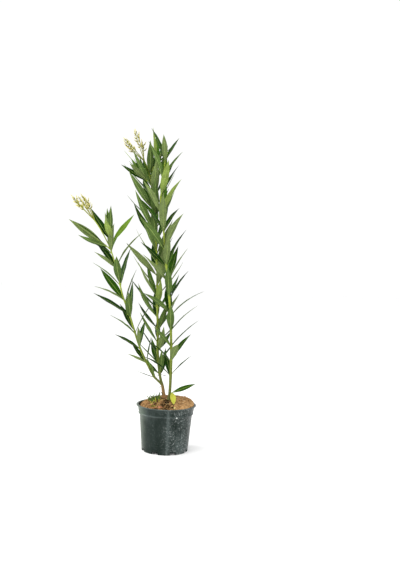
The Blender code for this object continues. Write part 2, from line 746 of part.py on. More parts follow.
def make_foliage(cane, parts, material, rooms):
    count = sum(tier[1] for tier in cane["tiers"])
    places = whorl_places(cane, count)
    starts = tier_ends(cane)
    k = 0
    for tier, (node, whorls, seed) in enumerate(cane["tiers"]):
        pieces = new_collection(node + "_pieces")
        rng = random.Random(seed)
        leaves = []
        for _ in range(whorls):
            leaves += whorl_leaves(cane["line"], cane, k, count, places[k], rng)
            k += 1
        if tier == len(cane["tiers"]) - 1:
            for number, shoot in enumerate(cane["shoots"]):
                line = shoot_line(cane["line"], shoot)
                along = stations(0.0, line.length, SHOOT_STEP)
                tube(f"{node}_shoot_{number}", line, along, shoot_radii(along, line), SHOOT_SIDES, pieces)
                growth = shoot_growth(line, shoot)
                variation = random.Random(shoot["seed"])
                for w, place in enumerate(whorl_places(growth, shoot["whorls"])):
                    leaves += whorl_leaves(line, growth, w, shoot["whorls"], place, variation)
        for number, leaf in enumerate(leaves):
            settled = settle(leaf, node, rooms)
            if settled:
                loft_object(f"{node}_leaf_{number}", leaf_shape(settled), pieces)
        along = stations(starts[tier] + MEET, starts[tier + 1])
        stem = tube(node, cane["line"], along, cane_radius(cane, along), STEM_SIDES, parts, material)
        fuse(stem, pieces)


def floret_shape(root, way, azimuth, spread, length):
    """A short stalk that swells into a slim pointed bud."""
    t = np.array([share for share, _ in FLORET_SHAPE] + [1.0])
    centres, _, side, away = arc_frame(root, way, azimuth, spread, -0.4, length, t)
    radii = np.array([radius for _, radius in FLORET_SHAPE] + [0.0])[:, None]
    rings = np.stack([centres + side * radii, centres + away * radii, centres - side * radii,
                      centres - away * radii], 1)
    return loft(rings[:-1], centres[-1])


def arm_line(stalk, arm, rng):
    azimuth, spread, bend, length = [rng.uniform(-1, 1) for _ in range(4)]
    root, way = stalk.at(stalk.length - 0.004 - ARM_RUN * arm / ARMS)
    centres = arc_frame(root, way, math.radians(GOLDEN_TURN * arm + ARM_VARY * azimuth),
                        math.radians(between(ARM_SPREAD, (spread + 1) / 2)), math.radians(ARM_BEND * bend),
                        between(ARM_LENGTH, (length + 1) / 2), np.linspace(0, 1, 7))[0]
    return Line(centres)


def floret_on(line, floret, rng):
    azimuth, stand, length = [rng.uniform(-1, 1) for _ in range(3)]
    share = FLORET_FIRST + (1 - FLORET_FIRST) * (floret + 1) / FLORETS
    root, way = line.at(share * line.length - 0.001)
    angle = between(FLORET_STAND, (stand + 1) / 2) * (LAST_STAND if floret == FLORETS - 1 else 1)
    return floret_shape(root, way, math.radians(GOLDEN_TURN * floret + FLORET_VARY * azimuth),
                        math.radians(angle), between(FLORET_LENGTH, (length + 1) / 2))


def make_blossom(cane, parts, material, rooms):
    blossom = cane["blossom"]
    node = blossom["node"]
    stalk = cane["line"]
    rng = random.Random(blossom["seed"])
    pieces = new_collection(node + "_pieces")
    for arm in range(ARMS):
        line = arm_line(stalk, arm, rng)
        florets = [floret_on(line, floret, rng) for floret in range(FLORETS)]
        along = stations(0.0, line.length, ARM_STEP)
        radii = np.interp(along, [0, line.length], ARM_RADII)
        if not is_clear(tube_room(line, along, radii), node, rooms):
            continue
        tube(f"{node}_arm_{arm}", line, along, radii, ARM_SIDES, pieces)
        for floret, shape in enumerate(florets):
            if is_clear(room_of(shape), node, rooms):
                loft_object(f"{node}_floret_{arm}_{floret}", shape, pieces)
    along = stations(blossom["start"] + MEET, stalk.length)
    stem = tube(node, stalk, along, cane_radius(cane, along), SHOOT_SIDES, parts, material)
    fuse(stem, pieces)


def main():
    empty_the_scene()
    parts = new_collection("potted_oleander")
    cutters = new_collection("cutters")
    plastic = plain_material("black_plastic", (0.03, 0.035, 0.037), 0.55)
    compost = plain_material("coir_compost", (0.30, 0.17, 0.09), 0.95)
    bark = plain_material("woody_bark", (0.25, 0.20, 0.09), 0.8)
    green = plain_material("green_leaf", (0.09, 0.20, 0.05), 0.5)
    yellow = plain_material("pale_bud", (0.62, 0.60, 0.22), 0.6)
    for cane in (LEFT, MIDDLE, RIGHT):
        cane["line"] = Line(cane["line"])
    feet = (("trunk", MIDDLE["line"], TRUNK_RADII[0][1]),
            ("right_cane", RIGHT["line"], RIGHT["radii"][0] + RIGHT_FLARE[0][1]))
    make_pot(parts, cutters, plastic)
    make_compost(parts, cutters, compost, feet)
    trunk = make_trunk(parts, bark)
    middle_cane = make_middle_cane(parts, bark, tier_ends(MIDDLE)[0])
    make_left_cane(parts, cutters, bark, tier_ends(LEFT)[0], trunk, middle_cane)
    make_right_cane(parts, bark, tier_ends(RIGHT)[0])
    rooms = []
    for cane, owner in ((LEFT, "left_cane"), (MIDDLE, "middle_cane"), (RIGHT, "right_cane")):
        claim_limbs(cane, owner, rooms)
    make_sprig(parts, green, rooms)
    for cane in (LEFT, MIDDLE, RIGHT):
        make_foliage(cane, parts, green, rooms)
    for cane in (LEFT, MIDDLE):
        make_blossom(cane, parts, yellow, rooms)


main()
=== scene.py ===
# Potted oleander: three leafy canes and two flower stalks in a dusty nursery pot, dressed on its solids.
import math
import random

import bpy
import numpy as np
from mathutils import Matrix
from mathutils.bvhtree import BVHTree


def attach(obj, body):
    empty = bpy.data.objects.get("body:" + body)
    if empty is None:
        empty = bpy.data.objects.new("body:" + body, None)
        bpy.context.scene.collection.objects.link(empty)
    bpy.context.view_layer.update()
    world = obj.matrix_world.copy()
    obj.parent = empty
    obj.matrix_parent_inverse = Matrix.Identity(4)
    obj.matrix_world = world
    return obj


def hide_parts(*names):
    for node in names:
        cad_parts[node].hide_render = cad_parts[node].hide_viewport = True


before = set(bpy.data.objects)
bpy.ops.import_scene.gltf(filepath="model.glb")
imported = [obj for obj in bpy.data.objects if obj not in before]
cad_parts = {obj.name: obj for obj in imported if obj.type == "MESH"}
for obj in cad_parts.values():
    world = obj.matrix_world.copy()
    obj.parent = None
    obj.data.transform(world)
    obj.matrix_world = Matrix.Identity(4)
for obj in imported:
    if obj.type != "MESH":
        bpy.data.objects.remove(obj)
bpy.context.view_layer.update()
print("frame loaded,", len(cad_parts), "solids")

scene = bpy.context.scene


# camera and light: eye level with the foliage, leaning a little to one side
view = dict(place=(0.0926850, -2.3856168, 0.6454836), pitch=0.0497239, lean=0.0378983, lens=48.0)


def placed(x, y, z, place):
    # the matrix with the three axes and the place as its columns
    turned = np.eye(4)
    turned[:3] = np.array([x, y, z, place]).T
    return Matrix(turned.tolist())


def makeCamera():
    # the axes are X, the way up tilted back by the pitch, and both turned about the line of sight by the lean
    pitch, lean = view["pitch"], view["lean"]
    forward = np.array([0, math.cos(pitch), -math.sin(pitch)])
    upright = np.array([0, math.sin(pitch), math.cos(pitch)])
    level = np.array([1.0, 0, 0])
    lens = bpy.data.cameras.new("camera")
    lens.lens, lens.sensor_width, lens.clip_end = view["lens"], 36, 50
    camera = bpy.data.objects.new("camera", lens)
    scene.collection.objects.link(camera)
    camera.matrix_world = placed(math.cos(lean) * level + math.sin(lean) * upright,
                                 math.cos(lean) * upright - math.sin(lean) * level, -forward, view["place"])
    scene.camera = camera


lampAim = (-0.05, 0, 0.45)
skyStrength = 1.03
lamps = (
    dict(name="keySoftbox", at=(-1.7, -1.9, 2.4), size=(2.3, 2.3), power=46, colour=(1.0, 0.985, 0.95)),
    dict(name="frontStrip", at=(0.56, -2.5, 0.75), size=(0.20, 1.5), power=34, colour=(1, 1, 1)),
    dict(name="leftRim", at=(-2.2, 0.35, 0.6), size=(0.9, 1.8), power=52, colour=(1, 1, 0.98)),
)


def makeLight():
    for lamp in lamps:
        light = bpy.data.lights.new(lamp["name"], "AREA")
        light.shape = "RECTANGLE"
        light.size, light.size_y = lamp["size"]
        light.energy, light.color = lamp["power"], lamp["colour"]
        holder = bpy.data.objects.new(lamp["name"], light)
        scene.collection.objects.link(holder)
        back = unit(np.array(lamp["at"]) - lampAim)
        across = unit(np.cross([0, 0, 1], back))
        holder.matrix_world = placed(across, np.cross(back, across), back, lamp["at"])
    world = bpy.data.worlds.new("studio")
    world.use_nodes = True
    world.node_tree.nodes["Background"].inputs["Color"].default_value = (1, 1, 1, 1)
    world.node_tree.nodes["Background"].inputs["Strength"].default_value = skyStrength
    scene.world = world
    scene.view_settings.view_transform = "Standard"


# helpers for materials
def newMaterial(name, colour, roughness, specular=0.5):
    material = bpy.data.materials.new(name)
    material.use_nodes = True
    shader = material.node_tree.nodes["Principled BSDF"]
    shader.inputs["Base Color"].default_value = (*colour, 1)
    shader.inputs["Roughness"].default_value = roughness
    shader.inputs["Specular IOR Level"].default_value = specular
    return material


def graphOf(*values):
    # the node graph of the first socket among the values
    return next(value.id_data for value in values if isinstance(value, bpy.types.NodeSocket))


def addNode(graph, kind, **values):
    # a new node, each value set on the input, or else the setting, of its name
    node = graph.nodes.new(kind)
    for key, value in values.items():
        if key in node.inputs:
            node.inputs[key].default_value = value
        else:
            setattr(node, key, value)
    return node


def feed(socket, value):
    # a link from another socket, or a number or a colour set on the socket itself
    if isinstance(value, bpy.types.NodeSocket):
        socket.id_data.links.new(value, socket)
    else:
        socket.default_value = (*value, 1) if isinstance(value, tuple) else value


def placeOf(material):
    # the object's own coordinates, whole and as X, Y and Z
    where = addNode(material.node_tree, "ShaderNodeTexCoord").outputs["Object"]
    parts = addNode(material.node_tree, "ShaderNodeSeparateXYZ")
    feed(parts.inputs[0], where)
    return (where, *parts.outputs)


def noiseOf(material, scale, detail=3.0, roughness=0.55, stretch=(1, 1, 1)):
    # noise on the object's own coordinates, drawn out along an axis where stretch is small
    graph = material.node_tree
    mapping = addNode(graph, "ShaderNodeMapping", Scale=stretch)
    noise = addNode(graph, "ShaderNodeTexNoise", Scale=scale, Detail=detail, Roughness=roughness)
    feed(mapping.inputs["Vector"], addNode(graph, "ShaderNodeTexCoord").outputs["Object"])
    feed(noise.inputs["Vector"], mapping.outputs["Vector"])
    return noise.outputs["Fac"]


def rampOf(value, *stops):
    # the colour at value, drawn in between the stops; a stop's plain number is a grey
    ramp = addNode(graphOf(value), "ShaderNodeValToRGB")
    elements = ramp.color_ramp.elements
    while len(elements) < len(stops):
        elements.new(0.5)
    for element, (place, colour) in zip(elements, stops):
        element.position = place
        element.color = (*colour, 1) if isinstance(colour, tuple) else (colour, colour, colour, 1)
    feed(ramp.inputs["Fac"], value)
    return ramp.outputs["Color"]


def rangeOf(value, source, target=(0, 1), kind="LINEAR"):
    # value carried from one range over to the other and held at its ends
    node = addNode(graphOf(value), "ShaderNodeMapRange", interpolation_type=kind)
    for name, number in zip(("From Min", "From Max", "To Min", "To Max"), (*source, *target)):
        node.inputs[name].default_value = number
    feed(node.inputs["Value"], value)
    return node.outputs[0]


def mixOf(share, a, b, blend="MIX"):
    mix = addNode(graphOf(share, a, b), "ShaderNodeMix", data_type="RGBA", blend_type=blend)
    for number, value in ((0, share), (6, a), (7, b)):  # the colour sockets of the node are 6 and 7
        feed(mix.inputs[number], value)
    return mix.outputs[2]


def calc(operation, a, b=0.0):
    node = addNode(graphOf(a, b), "ShaderNodeMath", operation=operation)
    feed(node.inputs[0], a)
    feed(node.inputs[1], b)
    return node.outputs[0]


def plus(a, b):
    return calc("ADD", a, b)


def times(a, b):
    return calc("MULTIPLY", a, b)


def larger(a, b):
    return calc("MAXIMUM", a, b)


def apart(a, b):
    # how far a and b lie from each other
    return calc("ABSOLUTE", calc("SUBTRACT", a, b))


def toShader(value, socket):
    feed(graphOf(value).nodes["Principled BSDF"].inputs[socket], value)


def bumpTo(height, distance, strength):
    bump = addNode(graphOf(height), "ShaderNodeBump", Strength=strength, Distance=distance)
    feed(bump.inputs["Height"], height)
    toShader(bump.outputs["Normal"], "Normal")


def shadesOf(colour, low, high):
    # a darker and a lighter shade of the colour
    return tuple(c * low for c in colour), tuple(min(1.0, c * high) for c in colour)


# helpers for meshes
def latticeNoise(x, y, cell, seed):
    # values at the corners of a square lattice, blended by 3f^2 - 2f^3 across each cell, from -1 to 1
    table = np.random.default_rng(seed).uniform(-1, 1, (64, 64))
    gx, gy = np.asarray(x) / cell, np.asarray(y) / cell
    ix, iy = np.floor(gx).astype(int), np.floor(gy).astype(int)
    fx, fy = gx - ix, gy - iy
    fx, fy = fx * fx * (3 - 2 * fx), fy * fy * (3 - 2 * fy)
    a, b = table[ix % 64, iy % 64], table[(ix + 1) % 64, iy % 64]
    c, d = table[ix % 64, (iy + 1) % 64], table[(ix + 1) % 64, (iy + 1) % 64]
    return (a * (1 - fx) + b * fx) * (1 - fy) + (c * (1 - fx) + d * fx) * fy


def rugged(x, y, cell, seed, octaves=4):
    # lattice noise summed over octaves, each half as wide and half as high as the one before
    return sum(latticeNoise(x, y, cell / 2 ** k, seed + k) / 2 ** k for k in range(octaves))


def ringFaces(rings, sides):
    # quads between rings of points, closed round each ring
    i, j = np.meshgrid(np.arange(rings - 1), np.arange(sides), indexing="ij")
    a, b = i * sides + j, i * sides + (j + 1) % sides
    return np.stack([a, b, b + sides, a + sides], -1).reshape(-1, 4)


def fanFaces(ring, centre, flip=False):
    # triangles from each side of a ring to one centre point
    fan = np.stack([ring, np.roll(ring, -1), np.full(len(ring), centre)], -1)
    return fan[:, ::-1] if flip else fan


def putMesh(name, points, faces, marks=None, uv=None, materials=(), smooth=True, crease=None):
    # faces is a list of index arrays of 3 or 4 columns, marks the material number of each face,
    # and an edge is sharp where crease holds for both of its points
    counts = np.concatenate([np.full(len(f), f.shape[1]) for f in faces])
    corners = np.concatenate([f.reshape(-1) for f in faces]).astype(np.int32)
    mesh = bpy.data.meshes.new(name)
    mesh.vertices.add(len(points))
    mesh.vertices.foreach_set("co", np.asarray(points, np.float32).reshape(-1))
    mesh.loops.add(len(corners))
    mesh.loops.foreach_set("vertex_index", corners)
    mesh.polygons.add(len(counts))
    mesh.polygons.foreach_set("loop_start", np.concatenate([[0], np.cumsum(counts)[:-1]]).astype(np.int32))
    mesh.polygons.foreach_set("loop_total", counts.astype(np.int32))
    mesh.polygons.foreach_set("use_smooth", np.full(len(counts), smooth))
    for material in materials:
        mesh.materials.append(material)
    if marks is not None:
        mesh.polygons.foreach_set("material_index", np.concatenate(marks).astype(np.int32))
    if uv is not None:
        layer = mesh.uv_layers.new(name="grain")
        layer.data.foreach_set("uv", np.asarray(uv, np.float32)[corners].reshape(-1))
    mesh.validate()
    mesh.update(calc_edges=True)
    if crease is not None:
        ends = np.zeros(2 * len(mesh.edges), np.int32)
        mesh.edges.foreach_get("vertices", ends)
        sharp = mesh.attributes.new("sharp_edge", "BOOLEAN", "EDGE")
        sharp.data.foreach_set("value", np.asarray(crease)[ends.reshape(-1, 2)].all(1))
    piece = bpy.data.objects.new(name, mesh)
    scene.collection.objects.link(piece)
    return piece


class Heap:
    # gathers many small shapes of one kind into one mesh; one mark may stand for all the faces of a shape
    def __init__(self):
        self.points, self.faces, self.marks, self.uv, self.crease, self.count = [], [], [], [], [], 0

    def add(self, points, faces, marks, uv=None, crease=None):
        marks = [marks] * len(faces) if np.isscalar(marks) else marks
        self.points.append(points)
        self.faces += [f + self.count for f in faces]
        self.marks += [np.full(len(f), m) if np.isscalar(m) else m for f, m in zip(faces, marks)]
        self.uv.append(np.zeros((len(points), 2)) if uv is None else uv)
        self.crease.append(np.zeros(len(points), bool) if crease is None else crease)
        self.count += len(points)

    def piece(self, name, materials, smooth=True):
        return putMesh(name, np.vstack(self.points), self.faces, self.marks, np.vstack(self.uv), materials,
                       smooth, np.concatenate(self.crease))


def unit(v):
    return v / np.linalg.norm(v, axis=-1, keepdims=True)


# the pot: a turned profile with a rolled lip, a collar, a ring under it and notches cut in its foot
pot = dict(
    height=0.1462, rim=0.095, collarTop=0.0900, collarFoot=0.0864, wallTop=0.0837, base=0.0730,
    lip=0.0035, collar=0.022, ring=0.003, ringStand=0.0010, wall=0.002, foot=0.0078, shrink=0.0007, steps=160,
    notches=8, notchWide=0.019, notchHigh=0.0075, notchDeep=0.0085, notchTurn=math.radians(-67),
    black=(0.0030, 0.0092, 0.0066), dustAndHighlightTint=(0.080, 0.102, 0.098), greenDustAndSheen=(0.105, 0.150, 0.092),
    lime=(0.42, 0.45, 0.44), spot=(0.80, 0.83, 0.80), spotAt=(0.0373, -0.0786, 0.1180), highlightStripeAt=0.0150,
    leftSheenShare=0.46, filmAndHighlightShare=0.62, speckShare=0.62,
    waves=((2, 0.0004, 0.7), (5, 0.0003, 2.0)), waveHeight=0.12,  # count, depth and turn of each wave
)
pot["collarLow"] = pot["height"] - pot["lip"] - pot["collar"]


def innerWall(z):
    # the wall's inner radius, straight lines between four heights
    low = pot["collarLow"]
    outside = [pot["base"], pot["wallTop"], pot["collarFoot"], pot["collarTop"]]
    return np.interp(z, [0, low - 0.001, low + 0.001, pot["height"]], outside) - pot["wall"]


def potProfile():
    # radius and height from the inside floor, over the lip, down the outer side and in under the floor
    rim, base, foot, wall = pot["rim"], pot["base"], pot["foot"], pot["wall"]
    upper, lower = pot["collarTop"], pot["collarFoot"]
    low, top, ringFoot = pot["collarLow"], pot["height"], pot["collarLow"] - pot["ring"]
    under = top - pot["lip"]
    half = (rim - innerWall(top)) / 2
    lip = [(innerWall(top) + half * (1 - math.cos(a)), top - 0.0016 + 0.0016 * math.sin(a))
           for a in np.linspace(0, 1, 7) * math.pi]
    bead = [(lower + pot["ringStand"] * math.sin(a), low - pot["ring"] * (0.5 - 0.5 * math.cos(a)))
            for a in np.linspace(0.3, 2.6, 7)]
    side = [(np.interp(z, [0, ringFoot], [base, pot["wallTop"]]), z)
            for z in np.linspace(ringFoot - 0.0022, 0.003, 9)]
    return np.array([
        (innerWall(0.01) - 0.002, foot + wall), (innerWall(0.01), 0.01),
        (innerWall(low - 0.001), low - 0.001), (innerWall(low + 0.001), low + 0.001), *lip,
        (rim - 0.0002, under + 0.0005), (rim - 0.0008, under), (upper + 0.0006, under - 0.0004),
        (upper, under - 0.0012), ((upper + lower) / 2, top - 0.016), (lower, low + 0.0012), *bead, *side,
        (base, 0.0011), (base - 0.0004, 0.0003), (base - 0.0011, 0.0), (base - 0.0024, 0.0),
        (base - 0.0028, 0.0004), (base - 0.0030, foot), (0.02, foot),
    ])


def lathe(profile, steps):
    # each profile point carried round Z in equal steps
    angle = np.arange(steps) * 2 * math.pi / steps
    r, z = profile[:, 0][:, None], profile[:, 1][:, None]
    return np.stack([r * np.cos(angle), r * np.sin(angle), z + 0 * angle], -1).reshape(-1, 3)


def potPlastic():
    # nearly black plastic under films and lines of dust, where the lines and a run down the front are also
    # painted highlights, a greener left edge that is partly painted sheen, lime specks and one white spot
    material = newMaterial("potPlastic", pot["black"], 0.30, 0.17)
    broad = noiseOf(material, 22, 4, 0.6)
    fine = noiseOf(material, 420, 3, 0.7, (1, 1, 0.6))
    streak = noiseOf(material, 60, 3, 0.6, (1, 1, 0.12))
    where, x, y, z = placeOf(material)
    # a film of dust at the right and high up, with one run of it down the front that is a painted highlight:
    # the stripe where the front strip lamp reflects
    side, high = rangeOf(x, (-0.012, 0.04), (0.12, 1.0)), rangeOf(z, (0.085, 0.118), (0.1, 0.5))
    filmAndHighlight = times(rampOf(times(broad, streak), (0.16, 0), (0.40, 1)), larger(side, high))
    run = rampOf(apart(plus(x, times(streak, 0.008)), pot["highlightStripeAt"]), (0.0, 0.85), (0.0095, 0))
    filmAndHighlight = times(larger(filmAndHighlight, times(run, rangeOf(y, (-0.02, -0.06)))), pot["filmAndHighlightShare"])
    # dust that lies on the ring, the lip and the collar, its lines also painted highlights along those edges:
    # level, width and share of each line
    for level, size, most in ((pot["collarLow"] - 0.0004, 0.0019, 0.60),
                              (pot["height"] - 0.0010, 0.0024, 0.75),
                              (pot["height"] - 0.0090, 0.0022, 0.28)):
        line = rampOf(apart(z, level), (size * 0.35, most), (size, 0))
        filmAndHighlight = larger(filmAndHighlight, times(line, rampOf(broad, (0.34, 0.35), (0.56, 1))))
    body = mixOf(filmAndHighlight, pot["black"], pot["dustAndHighlightTint"])
    # greener dust in patches at the left edge, partly a painted sheen where light grazes that edge
    patches = rampOf(noiseOf(material, 45, 4, 0.65), (0.36, 0.45), (0.58, 1))
    leftSheen = rangeOf(x, (-0.052, -0.084), (0, pot["leftSheenShare"]), "SMOOTHSTEP")
    body = mixOf(times(leftSheen, patches), body, pot["greenDustAndSheen"])
    # lime specks and blots at the right, then one small white spot
    blots = rampOf(noiseOf(material, 190, 4, 0.7), (0.555, 0), (0.64, 0.8))
    specks = times(larger(rampOf(fine, (0.60, 0), (0.70, 1)), blots), side)
    specks = times(specks, rampOf(broad, (0.34, 0.15), (0.54, 1)))
    body = mixOf(times(specks, pot["speckShare"]), body, pot["lime"])
    far = addNode(graphOf(where), "ShaderNodeVectorMath", operation="DISTANCE")
    feed(far.inputs[0], where)
    far.inputs[1].default_value = pot["spotAt"]
    toShader(mixOf(rampOf(far.outputs["Value"], (0.0014, 1), (0.0030, 0)), body, pot["spot"]), "Base Color")
    toShader(rampOf(broad, (0.3, 0.24), (0.7, 0.40)), "Roughness")
    bumpTo(plus(times(broad, 0.6), times(fine, 0.12)), 0.0012, 0.5)
    return material


def potInside():
    # the wall above the bed on the inside: damp and nearly clean
    material = newMaterial("potInside", pot["black"], 0.45, 0.12)
    broad = noiseOf(material, 40, 4, 0.6)
    toShader(mixOf(rampOf(broad, (0.45, 0), (0.75, 0.22)), pot["black"], pot["dustAndHighlightTint"]), "Base Color")
    bumpTo(broad, 0.0008, 0.4)
    return material


def cutNotches(shell):
    # boxes set round the foot's edge in equal turns are cut out of the shell
    corners = np.array([[x, y, z] for x in (-1, 1) for y in (-1, 1) for z in (-1, 1)], float)
    sides = np.array([[0, 1, 3, 2], [4, 6, 7, 5], [0, 4, 5, 1], [2, 3, 7, 6], [0, 2, 6, 4], [1, 5, 7, 3]])
    boxes = Heap()
    for k in range(pot["notches"]):
        box = corners * [pot["notchDeep"], pot["notchWide"] / 2, pot["notchHigh"]] + [pot["base"], 0, 0]
        boxes.add(turnedFlat(box, pot["notchTurn"] + k * 2 * math.pi / pot["notches"]), [sides], 0)
    cutter = boxes.piece("notchBoxes", (), smooth=False)
    cut = shell.modifiers.new("notches", "BOOLEAN")
    cut.operation, cut.solver, cut.object = "DIFFERENCE", "EXACT", cutter
    graph = bpy.context.evaluated_depsgraph_get()
    mesh = bpy.data.meshes.new_from_object(shell.evaluated_get(graph))
    shell.modifiers.clear()
    shell.data = mesh
    bpy.data.objects.remove(cutter)
    return shell


def makePot():
    profile, steps = potProfile(), pot["steps"]
    points = lathe(profile, steps)
    angle = np.arctan2(points[:, 1], points[:, 0])
    # a thin pot is never quite round: two waves round it, growing with the square of the height
    soft = sum(depth * np.sin(count * angle + turn) for count, depth, turn in pot["waves"])
    share = np.clip(points[:, 2] / pot["waveHeight"], 0, 1) ** 2
    squeeze = 1 - (pot["shrink"] - soft) / pot["rim"] * share
    points[:, :2] *= squeeze[:, None]
    last = len(points)
    points = np.vstack([points, [[0, 0, pot["foot"] + pot["wall"]], [0, 0, pot["foot"]]]])
    rings = ringFaces(len(profile), steps)[:, ::-1]
    inside = (np.arange(len(rings)) < 4 * steps).astype(int)  # the first four bands of the profile
    floor = fanFaces(np.arange(steps), last)
    under = fanFaces(np.arange(steps) + (len(profile) - 1) * steps, last + 1, flip=True)
    shell = putMesh("potShell", points, [rings, floor, under], [inside, np.ones(steps), np.zeros(steps)],
                    None, [potPlastic(), potInside()])
    return cutNotches(shell)


print("materials and pot ready")


# the compost: a domed, sloping bed with a crumbly surface and a hollow beside the right cane
bed = dict(
    middle=0.149, dome=0.016, slopeX=0.06, slopeY=0.08, dip=0.006, gap=0.0003, rings=80, steps=200,
    relief=0.0016, shoulder=0.0026, hollowAt=(0.0035, -0.033), hollowSize=(0.0065, 0.011), hollowDeep=0.008,
    sand=(0.50, 0.300, 0.132), brown=(0.29, 0.150, 0.055), debris=(0.048, 0.026, 0.007),
    # dark is the near-black tint of the hollow and the pits: painted shade
    dark=(0.009, 0.005, 0.002),
    litter=((-0.010, 0.006, 0.018, 0.85), (0.004, -0.024, 0.019, 1.0), (-0.004, -0.054, 0.021, 0.95),
            (-0.036, -0.018, 0.022, 0.8), (-0.022, 0.016, 0.018, 0.55), (0.016, -0.058, 0.014, 0.7),
            (-0.054, -0.030, 0.014, 0.70), (-0.034, -0.046, 0.016, 0.72), (-0.018, -0.066, 0.017, 0.9),
            (0.003, -0.073, 0.016, 0.95), (0.022, -0.068, 0.012, 0.8), (0.020, 0.004, 0.012, 0.55)),
    pits=((0.0045, 0.0174, 0.004), (0.0286, 0.0114, 0.0045), (-0.0083, -0.043, 0.003),
          (0.020, -0.014, 0.0045)),
)


def bedHeight(x, y):
    # a slope that drops further at the left edge, plus a dome that falls off with the square of the radius
    edge = innerWall(pot["height"])
    share = (x * x + y * y) / edge ** 2
    slope = bed["slopeX"] * x + bed["slopeY"] * y - bed["dip"] * (np.maximum(0, -x) / edge) ** 4
    return bed["middle"] + slope + bed["dome"] * (1 - share)


def bedEdge(angle):
    # the radius at which the bed meets its gap along the pot's inner wall, found by going round six times
    edge = innerWall(pot["height"]) - bed["gap"]
    for _ in range(6):
        edge = innerWall(bedHeight(edge * np.cos(angle), edge * np.sin(angle))) - bed["gap"]
    return edge


def bells(x, y, spots):
    # the strongest of a few bells, each given by x, y, size and share
    share = np.zeros(np.shape(x))
    for px, py, size, most in spots:
        share = np.maximum(share, most * np.exp(-((x - px) ** 2 + (y - py) ** 2) / size ** 2))
    return share


def hollowShare(x, y):
    # 1 in the middle of the hollow, 0.55 in that of each small pit, falling off as bells
    (hx, hy), (wide, long) = bed["hollowAt"], bed["hollowSize"]
    hollow = np.exp(-((x - hx) / wide) ** 2 - ((y - hy) / long) ** 2)
    return np.maximum(hollow, bells(x, y, [(*pit, 0.55) for pit in bed["pits"]]))


def groundKind(x, y, rng):
    # sand, brown or dark litter, sprayed by noise and luck, browner to the left; last the hollow and the
    # middles of the pits, in a near-black tint that is painted shade
    left = np.clip(0.5 - x / 0.12, 0, 1)
    luck = rng.normal(0, 0.16, np.shape(x))
    dark = bells(x, y, bed["litter"]) + 0.35 * rugged(x + 3, y, 0.006, 41) + luck
    brown = 0.30 + 0.45 * left + 0.5 * rugged(x + 7, y, 0.010, 43) + luck
    kind = np.where(dark > 0.52, 2, np.where(brown > 0.55, 1, 0))
    return np.where(hollowShare(x, y) > 0.35, 3, kind)


def bedSurface(x, y):
    # the dome plus rough noise, drawn down at the pot's wall and in the hollow
    reach = np.hypot(x, y) / bedEdge(np.arctan2(y, x))
    rough = rugged(x, y, 0.014, 3) * 0.9 + rugged(x + 1, y, 0.0045, 9) * 0.6
    ground = bedHeight(x, y) - 0.0006 + bed["relief"] * rough * np.clip((1 - reach) * 14 + 0.25, 0.25, 1)
    ground = ground - bed["shoulder"] * np.clip((reach - 0.90) / 0.10, 0, 1) ** 2
    return ground - bed["hollowDeep"] * hollowShare(x, y)


def compostMaterial(name, colour, spread):
    # a broad mottle of three tints, darkened by a fine grain
    low, high = shadesOf(colour, 1 - spread, 1 + spread)
    material = newMaterial(name, colour, 0.95, 0.05)
    broad, fine = noiseOf(material, 60, 4, 0.65), noiseOf(material, 700, 4, 0.75)
    base = rampOf(broad, (0.3, low), (0.5, colour), (0.72, high))
    grain = rampOf(fine, (0.35, (0.35, 0.3, 0.26)), (0.55, 1))
    toShader(mixOf(0.8, base, grain, "MULTIPLY"), "Base Color")
    bumpTo(fine, 0.002, 0.8)
    return material


def makeBed():
    # rings on the surface, closer together near the wall, each point nudged inside its own cell,
    # then down the pot's inner wall and under
    steps, count, rng = bed["steps"], bed["rings"], np.random.default_rng(17)
    share = np.linspace(0, 1, count + 1)[1:] ** 0.8
    angle = np.arange(steps) * 2 * math.pi / steps
    nudge = rng.uniform(-0.32, 0.32, (2, count, steps))
    nudge[:, -1] = 0
    turn = angle + nudge[0] * 2 * math.pi / steps
    reach = (share[:, None] + nudge[1] * np.gradient(share)[:, None]) * bedEdge(turn)
    x, y = reach * np.cos(turn), reach * np.sin(turn)
    top = np.stack([x, y, bedSurface(x, y)], -1)
    low, floor = pot["collarLow"], pot["foot"] + pot["wall"] + bed["gap"] + 0.002
    fall = np.array([0.08, 0.2, 0.36, 0.56, 0.78])[:, None]
    upper = top[-1, :, 2] * (1 - fall) + (low + 0.012) * fall
    lower = np.array([low + 0.012, low + 0.0013, low - 0.001, 0.05, floor])[:, None] + 0 * angle
    depth = np.vstack([upper, lower])
    inner = innerWall(depth) - bed["gap"] - 0.0005 * np.abs(rugged(depth * 40 + angle, angle * 0.08, 0.01, 5))
    down = np.stack([inner * np.cos(angle), inner * np.sin(angle), depth], -1)
    points = np.vstack([top.reshape(-1, 3), down.reshape(-1, 3),
                        [[0, 0, float(bedSurface(0.0, 0.0))], [0, 0, floor]]])
    rings = count + len(depth)
    sides = ringFaces(rings, steps)
    middle = fanFaces(np.arange(steps), len(points) - 2)
    under = fanFaces(np.arange(steps) + (rings - 1) * steps, len(points) - 1, flip=True)
    centre = points[sides].mean(1)
    kind = groundKind(centre[:, 0], centre[:, 1], np.random.default_rng(29)) * (centre[:, 2] > 0.13)
    wall = (count - 1) * steps
    kind[wall:] = np.minimum(kind[wall:], 1)  # no litter on the sides
    tints = (("coirSand", "sand"), ("coirBrown", "brown"), ("darkLitter", "debris"), ("hollowShade", "dark"))
    return putMesh("compostBed", points, [sides[:, ::-1], middle, under],
                   [kind, np.zeros(steps), np.zeros(steps)], None,
                   [compostMaterial(name, bed[tint], 0.32) for name, tint in tints])


